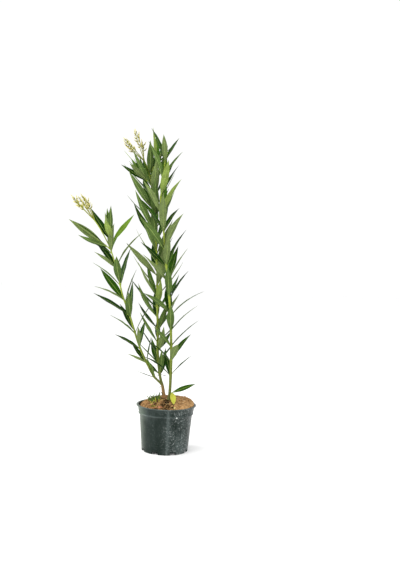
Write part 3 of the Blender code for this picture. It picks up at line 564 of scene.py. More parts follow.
crumbs = dict(
    count=1500, size=(0.0006, 0.0024), fibres=420, fibreLength=(0.004, 0.012), seed=11,
    tints=((0.42, 0.24, 0.10), (0.24, 0.12, 0.045), (0.07, 0.038, 0.016), (0.58, 0.42, 0.23)),
    fibreTint=(0.46, 0.31, 0.16), paleChip=(0.86, 0.78, 0.34), redChip=(0.62, 0.27, 0.15),
    chips=((0.0289, -0.0702, 0.0042, 5), (-0.0182, -0.0685, 0.0062, 6), (-0.0120, -0.0655, 0.0040, 6),
           (0.0060, -0.0330, 0.0018, 5), (0.0030, -0.0425, 0.0036, 2), (-0.0080, -0.0560, 0.0045, 2),
           (0.0120, -0.0640, 0.0040, 2), (-0.0330, -0.0440, 0.0040, 2), (0.0450, -0.0500, 0.0026, 3),
           (0.0560, -0.0100, 0.0024, 3), (-0.0560, -0.0330, 0.0030, 6)),
)


def turnedFlat(points, turn):
    # the points turned about Z
    c, s = math.cos(turn), math.sin(turn)
    return points @ np.array([[c, s, 0], [-s, c, 0], [0, 0, 1]])


def lump(size, rng):
    # an eight-faced lump with its corners pushed in and out
    corners = np.array([[1, 0, 0], [0, 1, 0], [-1, 0, 0], [0, -1, 0], [0, 0, 1], [0, 0, -1]], float)
    corners *= rng.uniform(0.55, 1.2, (6, 1)) * size * np.array([1, 0.8, 0.65])
    faces = np.array([[0, 1, 4], [1, 2, 4], [2, 3, 4], [3, 0, 4], [1, 0, 5], [2, 1, 5], [3, 2, 5], [0, 3, 5]])
    return turnedFlat(corners, rng.uniform(0, 2 * math.pi)), faces


def chipShape(size, rng):
    # a flat oval chip: five rings of ten round its upright axis, each point pushed in or out
    lean = np.linspace(0.18, 0.82, 5)[:, None] * math.pi
    angle = np.arange(10) * 2 * math.pi / 10
    push = size * rng.uniform(0.82, 1.12, (5, 10))
    turn = rng.uniform(0, 2 * math.pi)
    rings = np.stack([push * np.sin(lean) * np.cos(angle), 0.62 * push * np.sin(lean) * np.sin(angle),
                      -0.42 * push * np.cos(lean)], -1)
    points = np.vstack([rings.reshape(-1, 3), [[0, 0, -0.4 * size], [0, 0, 0.4 * size]]])
    return turnedFlat(points, turn), [ringFaces(5, 10), fanFaces(np.arange(10), 50, flip=True),
                                      fanFaces(np.arange(10) + 40, 51)]


def scatter(rng, count, reach):
    # places spread evenly over the bed, out to a share of its radius
    angle, share = rng.uniform(0, 2 * math.pi, count), np.sqrt(rng.uniform(0, 1, count)) * reach
    edge = bedEdge(angle) - 0.001
    return share * edge * np.cos(angle), share * edge * np.sin(angle)


def makeCrumbs():
    # crumbs, mostly small ones and darker where litter lies, then humped fibres, then the chips
    rng, heap = np.random.default_rng(crumbs["seed"]), Heap()
    xs, ys = scatter(rng, crumbs["count"], 0.97)
    for x, y, z in zip(xs, ys, bedSurface(xs, ys)):
        size = between(crumbs["size"], rng.uniform() ** 2.5)
        points, faces = lump(size, rng)
        dark = 0.10 + 0.75 * float(bells(x, y, bed["litter"]))
        pale = 1 - dark
        tint = rng.choice(4, p=[0.50 * pale, 0.30 * pale, dark, 0.20 * pale])
        heap.add(points + [x, y, z + 0.15 * size], [faces], tint)
    t = np.linspace(-0.5, 0.5, 5)
    hump = (0.25 - t * t) * 4
    for x, y in zip(*scatter(rng, crumbs["fibres"], 0.95)):
        length, turn = rng.uniform(*crumbs["fibreLength"]), rng.uniform(0, 2 * math.pi)
        bend = rng.uniform(-0.3, 0.3) * length * hump
        along = turnedFlat(np.stack([t * length, bend, 0 * t], -1), turn) + [x, y, 0]
        along[:, 2] = bedSurface(along[:, 0], along[:, 1]) + 0.0004 + 0.0012 * rng.uniform() * hump
        heap.add(*tubeShape(along, np.full(5, 0.00016), 4), 4)
    for x, y, size, kind in crumbs["chips"]:
        points, faces = chipShape(size, rng)
        heap.add(points + [x, y, float(bedSurface(x, y)) + 0.12 * size], faces, kind)
    names = ("crumbRed", "crumbBrown", "crumbDark", "crumbPale")
    skins = [compostMaterial(name, tint, 0.25) for name, tint in zip(names, crumbs["tints"])]
    skins += [compostMaterial("coirFibre", crumbs["fibreTint"], 0.3),
              compostMaterial("paleChip", crumbs["paleChip"], 0.15),
              compostMaterial("redChip", crumbs["redChip"], 0.25)]
    return heap.piece("compostCrumbs", skins, smooth=False)


def tubeShape(centres, radii, sides, ways=None):
    # rings square to the line, their first axis the part of X that is square to it, closed by two fans
    centres = np.asarray(centres, float)
    ways = unit(np.gradient(centres, axis=0)) if ways is None else ways
    across = np.array([1.0, 0, 0]) - ways[:, :1] * ways
    weak = np.linalg.norm(across, axis=1) < 0.2
    across[weak] = np.array([0, 1.0, 0]) - ways[weak, 1:2] * ways[weak]
    across = unit(across)
    beside = np.cross(ways, across)
    angle = np.arange(sides) * 2 * math.pi / sides
    radii = np.asarray(radii)[:, None] if np.ndim(radii) == 1 else radii
    rings = centres[:, None] + radii[..., None] * (np.cos(angle)[:, None] * across[:, None]
                                                   + np.sin(angle)[:, None] * beside[:, None])
    count = len(centres)
    points = np.vstack([rings.reshape(-1, 3), centres[:1], centres[-1:]])
    return points, [ringFaces(count, sides), fanFaces(np.arange(sides), count * sides, flip=True),
                    fanFaces(np.arange(sides) + (count - 1) * sides, count * sides + 1)]


# how the plant grows: the same lines, whorls, shoots and blossom as the solids follow
leftCane = dict(
    line=((-0.007, 0.012, 0.157), (-0.014, 0.010, 0.200), (-0.045, 0.006, 0.235), (-0.073, 0.000, 0.288),
          (-0.094, -0.006, 0.335), (-0.111, -0.012, 0.387), (-0.123, -0.017, 0.424), (-0.147, -0.025, 0.488),
          (-0.168, -0.035, 0.571), (-0.187, -0.040, 0.628), (-0.203, -0.044, 0.661), (-0.225, -0.048, 0.698),
          (-0.246, -0.050, 0.725)),
    radii=(0.0035, 0.0015), first=0.0815, gap=0.0528, lastGap=0.0525, phase=54,
    spread=(38, 36, 34), bend=(2, 25), lengths=(0.073, 0.137, 0.12),
    tiers=(("left_foliage_lower", 3, 7724), ("left_foliage_middle", 3, 3057),
           ("left_foliage_upper", 3, 2140)),
    shoots=(
        dict(at=0.5094, azimuth=-28, spread=37, bend=-27, stem=0.043, first=0.68, gap=0.0092, phase=37,
             leafSpread=(43, 27, 5), lengths=(0.12, 0.097, 0.097), whorls=2, seed=1767),
        dict(at=0.5115, azimuth=182, spread=25, bend=14, stem=0.037, first=0.3, gap=0.0118, phase=353,
             leafSpread=(40, 17, 10), lengths=(0.105, 0.111, 0.12), whorls=2, seed=5),
    ),
    blossom=dict(node="left_blossom", start=0.545, seed=1459), name="left", bareNode="left_cane",
)
middleCane = dict(
    line=((-0.007, 0.012, 0.157), (-0.014, 0.012, 0.199), (-0.022, 0.016, 0.224), (-0.029, 0.020, 0.263),
          (-0.035, 0.026, 0.319), (-0.036, 0.030, 0.364), (-0.042, 0.038, 0.469), (-0.046, 0.045, 0.567),
          (-0.051, 0.050, 0.634), (-0.057, 0.052, 0.695), (-0.066, 0.055, 0.774), (-0.076, 0.055, 0.847),
          (-0.090, 0.053, 0.894), (-0.104, 0.050, 0.920)),
    radii=(0.0043, 0.0016), first=0.0816, gap=0.0355, lastGap=0.0348, phase=45,
    spread=(49, 45, 41), bend=(-15, -12), lengths=(0.091, 0.14, 0.137),
    tiers=(("middle_foliage_lower", 5, 3789), ("middle_foliage_middle", 5, 4500),
           ("middle_foliage_high", 5, 7163), ("middle_foliage_top", 4, 8694)),
    shoots=(
        dict(at=0.7238, azimuth=4, spread=60, bend=-33, stem=0.046, first=0.51, gap=0.0261, phase=170,
             leafSpread=(32, 31, 29), lengths=(0.058, 0.093, 0.099), whorls=2, seed=717),
        dict(at=0.6905, azimuth=206, spread=52, bend=-33, stem=0.044, first=0.3, gap=0.0224, phase=49,
             leafSpread=(24, 21, 9), lengths=(0.102, 0.093, 0.065), whorls=2, seed=412),
    ),
    blossom=dict(node="middle_blossom", start=0.733, seed=3051), name="middle", bareNode="middle_cane",
)
rightCane = dict(
    line=((0.009, -0.012, 0.160), (0.010, -0.013, 0.181), (0.011, -0.014, 0.214), (0.011, -0.018, 0.299),
          (0.007, -0.022, 0.384), (0.002, -0.025, 0.447), (-0.005, -0.027, 0.523), (-0.013, -0.028, 0.577),
          (-0.020, -0.028, 0.636), (-0.027, -0.027, 0.697), (-0.036, -0.026, 0.745), (-0.039, -0.024, 0.790),
          (-0.036, -0.022, 0.827), (-0.033, -0.020, 0.872), (-0.029, -0.018, 0.907)),
    radii=(0.0046, 0.0016), first=0.0774, gap=0.0474, lastGap=0.0562, phase=96,
    spread=(41, 35, 22), bend=(19, 18), lengths=(0.11, 0.14, 0.115),
    tiers=(("right_foliage_lower", 4, 5275), ("right_foliage_middle", 3, 587),
           ("right_foliage_high", 3, 823), ("right_foliage_top", 4, 8636)),
    shoots=(), blossom=None, name="right", bareNode="right_cane",
)
forkAt = 0.043
trunkTaper = ((0.007, 0.0085), (0.013, 0.0064), (0.022, 0.0054), (forkAt, 0.0048))
rightFlare = ((0.003, 0.0022), (0.009, 0.0008), (0.019, 0.0))
shootRadii = (0.0019, 0.0011)
footSprig = dict(
    node="right_foot_sprig", at=0.023, azimuth=-40, spread=72, stem=0.011, radius=0.0018,
    leaves=((8, 64, 4, 0.083, 0.21, -42), (-78, 109, 28, 0.050, 0.36, 0)),
)
vary = dict(azimuth=18, spread=8, length=0.14, bend=10, roll=22)
leafRule = dict(slim=0.175, point=1.15, thick=0.013, fold=0.2, stations=(0.0, 0.13, 0.36, 0.63, 0.86),
                petiole=0.0012, room=0.0004, lead=0.007, stagger=0.004, asides=(0, 12, -12, 24, -24, 36, -36))
flower = dict(arms=6, run=0.012, length=(0.05, 0.095), spread=(5, 45), bend=20, varyArm=50,
              radii=(0.0012, 0.0009), florets=5, first=0.45, floretLength=(0.016, 0.024),
              floretShape=((0.0, 0.0008), (0.7, 0.0015)), stand=(25, 60), varyFloret=60, lastStand=0.3)
goldenTurn = 137.5


class Line:
    # a curve through its points, each span the cubic whose ends lean along the chords beside it,
    # then read at 240 places an equal way apart
    def __init__(self, points):
        knots = np.array(points, float)
        ends = np.vstack([2 * knots[0] - knots[1], knots, 2 * knots[-1] - knots[-2]])
        t = np.linspace(0, 1, 24, endpoint=False)[:, None]
        spans = [0.5 * (2 * b + (c - a) * t + (2 * a - 5 * b + 4 * c - d) * t ** 2
                        + (3 * b - a - 3 * c + d) * t ** 3)
                 for a, b, c, d in zip(ends, ends[1:], ends[2:], ends[3:])]
        path = np.vstack(spans + [knots[-1:]])
        along = np.concatenate([[0], np.cumsum(np.linalg.norm(np.diff(path, axis=0), axis=1))])
        self.length = along[-1]
        self.s = np.linspace(0, self.length, 240)
        self.points = np.stack([np.interp(self.s, along, path[:, k]) for k in range(3)], -1)
        self.ways = unit(np.gradient(self.points, self.s, axis=0))

    def many(self, s):
        # points and ways at the distances s, carried straight on below the start
        s = np.asarray(s, float)
        points = np.stack([np.interp(s, self.s, self.points[:, k]) for k in range(3)], -1)
        ways = unit(np.stack([np.interp(s, self.s, self.ways[:, k]) for k in range(3)], -1))
        return points + ways * np.minimum(s, 0.0)[:, None], ways

    def at(self, s):
        points, ways = self.many([s])
        return points[0], ways[0]


def between(pair, share):
    return pair[0] + (pair[1] - pair[0]) * share


def alongCane(values, share):
    # straight lines between a low, a middle and a high value
    low, middle, high = values
    return between((low, middle), 2 * share) if share < 0.5 else between((middle, high), 2 * share - 1)


def caneRadius(cane, s):
    # an even taper from the fork to the tip
    return np.interp(s, [forkAt, cane["line"].length], cane["radii"])


def stations(start, end, step=0.022):
    # distances about one step apart, with both ends and a place just inside each of them
    count = max(2, int(round((end - start) / step)) + 1)
    return np.concatenate([[start], np.linspace(start + 0.0012, end - 0.0012, count), [end]])


def outwardOf(way, azimuth):
    # the way out from a stem: the part of X that is square to it, turned about it by the azimuth
    across = unit(np.array([1.0, 0, 0]) - way[0] * way)
    return math.cos(azimuth) * across + math.sin(azimuth) * np.cross(way, across)


def arcFrame(root, way, azimuth, spread, bend, length, t):
    # the angle from the stem is spread + bend t, and its cosine and sine carry the line on
    outward = outwardOf(way, azimuth)
    side = np.cross(way, outward)
    angle = (spread + bend * (t[1:] + t[:-1]) / 2)[:, None]
    steps = (np.cos(angle) * way + np.sin(angle) * outward) * (np.diff(t) * length)[:, None]
    centres = root + np.vstack([np.zeros(3), np.cumsum(steps, axis=0)])
    angle = (spread + bend * t)[:, None]
    return centres, side, np.cross(side, np.cos(angle) * way + np.sin(angle) * outward)


def radiansOf(*degrees):
    return [math.radians(angle) for angle in degrees]


def halfWidth(t, length, slim, point):
    # a lance: half the width times a sine whose top lies just below the middle, to the power of the point
    return 0.5 * slim * length * np.abs(np.sin(np.pi * np.clip(t, 0, 1) ** 0.92)) ** point


def leafFrame(leaf, t):
    # the arc read at t, with the side axis and the upper side's axis turned by the leaf's roll
    *arc, roll = leaf
    fine = np.linspace(0, 1, 25)
    centres, side, away = arcFrame(*arc, fine)
    centres, away = [np.stack([np.interp(t, fine, line[:, k]) for k in range(3)], -1)
                     for line in (centres, away)]
    return (centres, math.cos(roll) * side + math.sin(roll) * away,
            math.sin(roll) * side - math.cos(roll) * away)


def roomShape(leaf, slim=leafRule["slim"]):
    # the four-sided spindle that a leaf keeps for itself, as the solids' rule has it
    t = np.array(leafRule["stations"] + (1.0,))
    length, room = leaf[5], leafRule["room"]
    centres, sides, ups = leafFrame(leaf, t)
    wide = (np.maximum(halfWidth(t, length, slim, leafRule["point"]), leafRule["petiole"]) + room)[:, None]
    thick = leafRule["thick"] * length / 2 + room
    raised = ups * wide * leafRule["fold"]
    rings = np.stack([centres - sides * wide + raised, centres - ups * thick,
                      centres + sides * wide + raised, centres + ups * thick], 1)[:-1]
    tip = centres[-1] + ups[-1] * thick * 0.3
    return spindle(rings, tip)


def spindle(rings, tip):
    # four-sided rings, closed by a quad at the root and drawn to a point at the tip
    count = len(rings)
    points = np.vstack([rings.reshape(-1, 3), tip[None]])
    last = np.arange(4) + 4 * (count - 1)
    return points, [np.array([[3, 2, 1, 0]]), ringFaces(count, 4), fanFaces(last, 4 * count)]


def treeOf(shape):
    points, faces = shape
    return BVHTree.FromPolygons(points.tolist(), [f for group in faces for f in group.tolist()])


def tubeRoom(line, distances, radii):
    # a six-sided tube round a limb
    centres, ways = line.many(distances)
    a = unit(np.cross(ways, (0.0, 1.0, 0.0)))
    b = np.cross(ways, a)
    angle = np.arange(6) * math.pi / 3
    reach = (np.asarray(radii) + leafRule["room"])[:, None, None]
    spokes = np.cos(angle)[:, None] * a[:, None] + np.sin(angle)[:, None] * b[:, None]
    rings = centres[:, None] + reach * spokes
    return treeOf((rings.reshape(-1, 3), [ringFaces(len(centres), 6)]))


def isClear(room, own, rooms):
    # true where the room meets no other owner's room
    return not any(owner != own and room.overlap(tree) for owner, tree in rooms)


def settle(leaf, own, rooms):
    # a leaf turns aside until it clears every other mass, or isn't grown
    root, way, azimuth, *rest = leaf
    for turn in leafRule["asides"]:
        aside = (root, way, azimuth + math.radians(turn), *rest)
        room = treeOf(roomShape(aside))
        if isClear(room, own, rooms):
            rooms.append((own, room))
            return aside
    return None


def whorlPlaces(growth, count):
    # the distances of the whorls along their stem
    gaps = [between((growth["gap"], growth["lastGap"]), k / (count - 1)) for k in range(count - 1)]
    return list(np.cumsum([growth["first"], *gaps]))


def whorlLeaves(line, growth, k, count, place, rng):
    # three leaves a third of a turn apart, each whorl turned by 60 degrees on the one below
    share, leaves = k / (count - 1), []
    for j in range(3):
        u = [rng.uniform(-1, 1) for _ in range(5)]
        azimuth, spread, bend, roll = radiansOf(
            growth["phase"] + 60 * k + 120 * j + vary["azimuth"] * u[0],
            alongCane(growth["spread"], share) + vary["spread"] * u[1],
            between(growth["bend"], share) + vary["bend"] * u[3], vary["roll"] * u[4])
        length = alongCane(growth["lengths"], share) * (1 + vary["length"] * u[2])
        root, way = line.at(place + leafRule["stagger"] * (j - 1))
        leaves.append((root, way, azimuth, spread, bend, length, roll))
    return leaves


def shootLine(cane, shoot):
    angles = radiansOf(shoot["azimuth"], shoot["spread"], shoot["bend"])
    return Line(arcFrame(*cane["line"].at(shoot["at"]), *angles, shoot["stem"], np.linspace(0, 1, 9))[0])


def tierEnds(cane):
    # where each tier begins on its cane, and where the last one ends
    counts = [tier[1] for tier in cane["tiers"]]
    places = whorlPlaces(cane, sum(counts))
    starts = [places[k] - leafRule["lead"] for k in np.cumsum([0] + counts)[:-1]]
    return starts + [cane["blossom"]["start"] if cane["blossom"] else cane["line"].length]


def claimLimbs(cane, rooms):
    # the bare cane, each tier, the blossom's stalk and the side shoots keep a tube of room each
    line, ends = cane["line"], [forkAt] + tierEnds(cane)
    owners = [cane["bareNode"]] + [tier[0] for tier in cane["tiers"]]
    if cane["blossom"]:
        owners.append(cane["blossom"]["node"])
        ends.append(line.length)
    for node, start, end in zip(owners, ends, ends[1:]):
        places = stations(start, end)
        rooms.append((node, tubeRoom(line, places, caneRadius(cane, places))))
    for shoot in cane["shoots"]:
        twig = shootLine(cane, shoot)
        places = stations(0.0, twig.length, 0.012)
        radii = np.interp(places, [0, twig.length], shootRadii)
        rooms.append((cane["tiers"][-1][0], tubeRoom(twig, places, radii)))


def sprigParts(rooms):
    # the short stalk at the right cane's foot, and its two leaves with their own widths
    root, way = rightCane["line"].at(footSprig["at"])
    azimuth, spread = radiansOf(footSprig["azimuth"], footSprig["spread"])
    line = Line(arcFrame(root, way, azimuth, spread, 0.0, footSprig["stem"], np.linspace(0, 1, 5))[0])
    reach = caneRadius(rightCane, footSprig["at"]) + 0.0003 + footSprig["radius"] * math.cos(spread)
    start = reach / math.sin(spread)
    leaves = []
    for number, (azimuth, spread, bend, length, slim, roll) in enumerate(footSprig["leaves"]):
        azimuth, spread, bend, roll = radiansOf(azimuth, spread, bend, roll)
        leaf = (line.at(start + 0.002 + 0.003 * number)[0], way, azimuth, spread, bend, length, roll)
        leaves.append((leaf, slim))
        rooms.append((footSprig["node"], treeOf(roomShape(leaf, slim))))
    places = stations(start, line.length)
    rooms.append((footSprig["node"], tubeRoom(line, places, np.full(len(places), footSprig["radius"]))))
    return line, leaves


def growLeaves(cane, rooms):
    # every leaf that finds room, as (leaf, share of the cane's height, its shoot or -1, distance)
    count = sum(tier[1] for tier in cane["tiers"])
    places, k, grown = whorlPlaces(cane, count), 0, []
    for node, whorls, seed in cane["tiers"]:
        rng, leaves = random.Random(seed), []
        for k in range(k, k + whorls):
            leaves += [(leaf, k / (count - 1), -1, places[k] + leafRule["stagger"] * (j - 1)) for j, leaf in
                       enumerate(whorlLeaves(cane["line"], cane, k, count, places[k], rng))]
        k += 1
        if k == count:
            leaves += shootLeaves(cane)
        for leaf, *rest in leaves:
            settled = settle(leaf, node, rooms)
            if settled:
                grown.append((settled, *rest))
    return grown


def shootLeaves(cane):
    # the whorls of the side shoots, each by the cane's rule with the shoot's own numbers
    leaves = []
    for number, shoot in enumerate(cane["shoots"]):
        line, rng = shootLine(cane, shoot), random.Random(shoot["seed"])
        growth = dict(shoot, first=shoot["first"] * line.length, lastGap=0.8 * shoot["gap"],
                      spread=shoot["leafSpread"], bend=(0, 0))
        for w, place in enumerate(whorlPlaces(growth, shoot["whorls"])):
            leaves += [(leaf, 1.0, number, place) for leaf in
                       whorlLeaves(line, growth, w, shoot["whorls"], place, rng)]
    return leaves


canes = (leftCane, middleCane, rightCane)
for cane in canes:
    cane["line"] = Line(cane["line"])
rooms = []
for cane in canes:
    claimLimbs(cane, rooms)
sprigLine, sprigLeaves = sprigParts(rooms)
for cane in canes:
    cane["leaves"] = growLeaves(cane, rooms)
print("growth worked out:", [len(cane["leaves"]) for cane in canes], "leaves")


# the canes: unbroken tubes from below the compost to the tip, with bark relief, nodes and leaf cushions
caneLook = dict(
    step=0.003, sides=18, sink=0.005, cushion=0.0007, swelling=0.07, relief=0.0004, reliefFade=0.07,
    scars=((0.030, 0.8), (0.052, 2.4), (0.068, 4.6)), budLength=0.0034,
    twig=dict(step=0.0018, sides=12, cushion=0.0004, relief=0.0001, scars=()),
    wood=(0.21, 0.105, 0.034), olive=(0.082, 0.092, 0.016), green=(0.125, 0.165, 0.016),
    lime=(0.27, 0.34, 0.032), pore=(0.42, 0.36, 0.2), bud=(0.22, 0.33, 0.06), budSpot=(0.34, 0.42, 0.12),
    barks=(("bark", ("wood", "olive", "green", "lime"), (0.215, 0.240, 0.31, 0.55), 0.5),
           ("shootBark", ("green", "green", "lime", "lime"), (0.20, 0.30, 0.46, 0.80), 0.45),
           ("greenBark", ("olive", "olive", "green", "lime"), (0.16, 0.22, 0.32, 0.55), 0.5)),
)


def barkMaterial(name, tints, levels, gloss):
    # the tint changes with height, ragged by noise, under fine streaks and pale breathing pores
    tints = [caneLook[tint] for tint in tints]
    material = newMaterial(name, tints[1], gloss, 0.2)
    height = placeOf(material)[3]
    patches = noiseOf(material, 55, 4, 0.6, (1, 1, 0.35))
    streaks = noiseOf(material, 900, 3, 0.6, (1, 1, 0.06))
    pores = noiseOf(material, 620, 2, 0.5, (1, 1, 0.55))
    tint = rampOf(plus(height, times(patches, 0.07)), *zip(levels, tints))
    shade = rampOf(streaks, (0.3, (0.62, 0.62, 0.6)), (0.6, 1))
    spots = times(rampOf(pores, (0.66, 0), (0.72, 1)), rangeOf(height, (0.2, 0.5), (0.5, 0.1)))
    toShader(mixOf(spots, mixOf(0.7, tint, shade, "MULTIPLY"), caneLook["pore"]), "Base Color")
    toShader(rampOf(patches, (0.3, gloss - 0.08), (0.7, gloss + 0.1)), "Roughness")
    bumpTo(plus(streaks, spots), 0.0006, 0.5)
    return material


def around(angle, centre):
    # the angle as seen from centre, from minus to plus half a turn
    return (angle - centre + math.pi) % (2 * math.pi) - math.pi


def cushionTop(radiusAt, leaf, place):
    # the radius where a leaf stands, and how far up its upper side leaves the stem's skin
    radius = float(radiusAt(np.array([place]))[0])
    return radius, place + radius / math.tan(max(leaf[3], 0.4))


def caneShape(line, start, radiusAt, leaves, seed, look):
    # radius along the line, plus node swellings, a cushion running down under each leaf, leaf scars
    # and bark relief that fades with height, then drawn to a round end
    sides, step = look["sides"], look["step"]
    s = np.linspace(start, line.length, int((line.length - start) / step) + 2)
    centres, ways = line.many(s)
    angle = np.arange(sides) * 2 * math.pi / sides
    plain = radiusAt(s)
    radius = plain[:, None] * np.ones(sides)
    for leaf, place in leaves:
        r, rise = cushionTop(radiusAt, leaf, place)
        run = s - rise
        along = np.where(run < 0, np.exp(run / 0.011), np.exp(-(run / 0.0016) ** 2))
        under = np.exp(-(around(angle, leaf[2]) / 0.6) ** 2)
        radius += min(look["cushion"], 0.22 * r) * along[:, None] * under
        radius *= 1 + look["swelling"] / 3 * np.exp(-((s - place) / 0.004) ** 2)[:, None]
    for place, turn in look["scars"]:
        if start < place:
            ring = np.exp(-((s - place) / 0.0016) ** 2)[:, None]
            radius += 0.0003 * ring * (0.5 + np.exp(-(around(angle, turn + seed) / 0.7) ** 2))
    x, y = plain[:, None] * np.cos(angle), plain[:, None] * np.sin(angle)
    height = s[:, None] * 0.45 + 0 * x
    rough = rugged(x + 5, height, 0.0035, seed) + rugged(y + 9, height, 0.0035, seed + 20)
    radius += look["relief"] * (0.12 + np.exp(-np.clip(s, 0, 1) / look["reliefFade"]))[:, None] * rough * 0.5
    left = np.clip((line.length - s) / (1.2 * plain[-1]), 0, 1)
    radius *= np.sqrt(1 - (1 - left) ** 2 * 0.96)[:, None]
    turn, run = np.meshgrid(np.arange(sides) / sides, s)
    uv = np.vstack([np.stack([turn, run], -1).reshape(-1, 2), [[0, s[0]], [0, s[-1]]]])
    return *tubeShape(centres, radius, sides, ways), uv


def budShape(root, way, out, length, wide):
    # a pointed oval of six sides: rings along way at the shares of its length, leaning outward
    share = np.array([0.0, 0.25, 0.55, 0.82, 1.0])
    radii = wide * np.array([0.55, 0.95, 1.0, 0.55, 0.06])
    centres = root + way * (share * length)[:, None] + out * (share * length * 0.25)[:, None]
    return tubeShape(centres, radii, 6)


def caneRadii(cane):
    # the solids' taper, with the trunk's or the foot's flare added below the fork
    if cane is middleCane:
        table = trunkTaper + ((forkAt + 0.016, float(caneRadius(cane, forkAt + 0.016))),
                              (cane["line"].length, cane["radii"][1]))
        return lambda s: np.interp(s, *zip(*table))
    if cane is rightCane:
        return lambda s: caneRadius(cane, s) + np.interp(s, *zip(*rightFlare))
    return lambda s: caneRadius(cane, s)


def makeCane(cane, seed, skins):
    look, heap, line, radiusAt = caneLook, Heap(), cane["line"], caneRadii(cane)
    borne = [[(leaf, place) for leaf, _, bearer, place in cane["leaves"] if bearer == number]
             for number in range(-1, len(cane["shoots"]))]
    start = 0.02 if cane is leftCane else -look["sink"]
    points, faces, uv = caneShape(line, start, radiusAt, borne[0], seed, look)
    heap.add(points, faces, 0, uv)
    for number, shoot in enumerate(cane["shoots"]):
        twig = shootLine(cane, shoot)
        points, faces, uv = caneShape(twig, 0.0, lambda s: np.interp(s, [0, twig.length], shootRadii),
                                      borne[number + 1], seed + 50 + number, dict(look, **look["twig"]))
        heap.add(points, faces, 1, uv)
        addTip(heap, twig)
    rng = np.random.default_rng(seed)
    for leaf, place in borne[0]:
        out = outwardOf(line.at(place)[1], leaf[2])
        r, rise = cushionTop(radiusAt, leaf, place)
        centre, way = line.at(rise + 0.0022)
        length = look["budLength"] * rng.uniform(0.7, 1.2)
        heap.add(*budShape(centre + out * r * 0.82, way, out, length, 0.0009), 2)
    if not cane["blossom"]:
        addTip(heap, line)
    return heap.piece("cane" + cane["name"].capitalize(), skins)


def addTip(heap, line):
    # a closed bud of three small pointed leaves pressed together
    end, way = line.at(line.length - 0.001)
    across = unit(np.cross(way, [0.3, 1, 0.2]))
    for turn in (0.2, 2.3, 4.4):
        out = math.cos(turn) * across + math.sin(turn) * np.cross(way, across)
        length = 0.008 + 0.002 * math.sin(turn)
        heap.add(*budShape(end + out * 0.0004, way, out * 0.6, length, 0.0008), 2)


# the leaves: slim folded blades with a pale midrib, each kind of side in its own tint
blade = dict(
    t=(0.0, 0.03, 0.08, 0.14, 0.21, 0.28, 0.35, 0.42, 0.49, 0.56, 0.63, 0.70, 0.77, 0.84, 0.90, 0.95),
    across=0.55, rib=0.0007, thick=0.00045, curl=0.06, sway=0.022, twist=0.18, wave=0.07,
    upper=((0.008, 0.034, 0.002), (0.019, 0.062, 0.003), (0.044, 0.106, 0.007), (0.094, 0.178, 0.011)),
    under=((0.064, 0.106, 0.026), (0.117, 0.158, 0.054), (0.154, 0.212, 0.046)),
    ribUpper=(0.17, 0.24, 0.05), ribUnder=(0.20, 0.27, 0.07), stalk=(0.20, 0.27, 0.03),
    old=(0.33, 0.335, 0.042),
)
oldLeaf = 10  # the number of its material in the list that leafMaterials makes


def leafMaterial(name, colour, gloss, sheen, veins):
    # side veins leave the midrib slantwise, as bands of t plus a share of |u|, over soft mottling
    material = newMaterial(name, colour, gloss, sheen)
    low, high = shadesOf(colour, 0.78, 1.22)
    tint = rampOf(noiseOf(material, 38, 3, 0.55), (0.3, low), (0.52, colour), (0.72, high))
    parts = addNode(material.node_tree, "ShaderNodeSeparateXYZ")
    feed(parts.inputs[0], addNode(material.node_tree, "ShaderNodeUVMap", uv_map="grain").outputs["UV"])
    outward = apart(parts.outputs["X"], 0.5)
    band = calc("SUBTRACT", times(parts.outputs["Y"], 230.0), times(outward, 22.0))
    lines = rampOf(calc("SINE", band), (0.0, 0), (0.75, 0.12), (1.0, 1))
    share = plus(times(lines, veins), times(rampOf(outward, (0.43, 0), (0.5, 1)), 0.22))
    toShader(mixOf(share, tint, shadesOf(colour, 1, 1.9)[1]), "Base Color")
    fine = noiseOf(material, 260, 3, 0.6)
    toShader(rampOf(fine, (0.3, gloss - 0.07), (0.7, gloss + 0.09)), "Roughness")
    bumpTo(plus(times(lines, 0.5), fine), 0.0004, 0.45)
    return material


def spottedMaterial(name, colour, spot):
    # plain tissue: a soft mottle between two tints with fine specks of another colour
    material = newMaterial(name, colour, 0.65, 0.15)
    low, high = shadesOf(colour, 0.8, 1.2)
    tint = rampOf(noiseOf(material, 90, 3, 0.6), (0.3, low), (0.5, colour), (0.72, high))
    specks = rampOf(noiseOf(material, 700, 3, 0.6), (0.55, 0), (0.75, 1))
    toShader(mixOf(specks, tint, spot), "Base Color")
    bumpTo(noiseOf(material, 500, 3, 0.6), 0.0004, 0.4)
    return material


def leafMaterials():
    # 0 to 3 are upper sides from deep to fresh, 4 to 6 under sides, 7 and 8 the ribs, 9 the stalk
    names = ("leafDeep", "leafGreen", "leafMid", "leafFresh")
    skins = [leafMaterial(name, tint, 0.40, 0.045, 0.16) for name, tint in zip(names, blade["upper"])]
    names = ("underGrey", "underPale", "underFresh")
    skins += [leafMaterial(name, tint, 0.68, 0.025, 0.10) for name, tint in zip(names, blade["under"])]
    skins.append(spottedMaterial("ribUpper", blade["ribUpper"], blade["upper"][3]))
    skins.append(spottedMaterial("ribUnder", blade["ribUnder"], blade["under"][1]))
    skins.append(spottedMaterial("leafStalk", blade["stalk"], blade["ribUnder"]))
    skins.append(leafMaterial("leafOld", blade["old"], 0.6, 0.15, 0.3))
    return skins


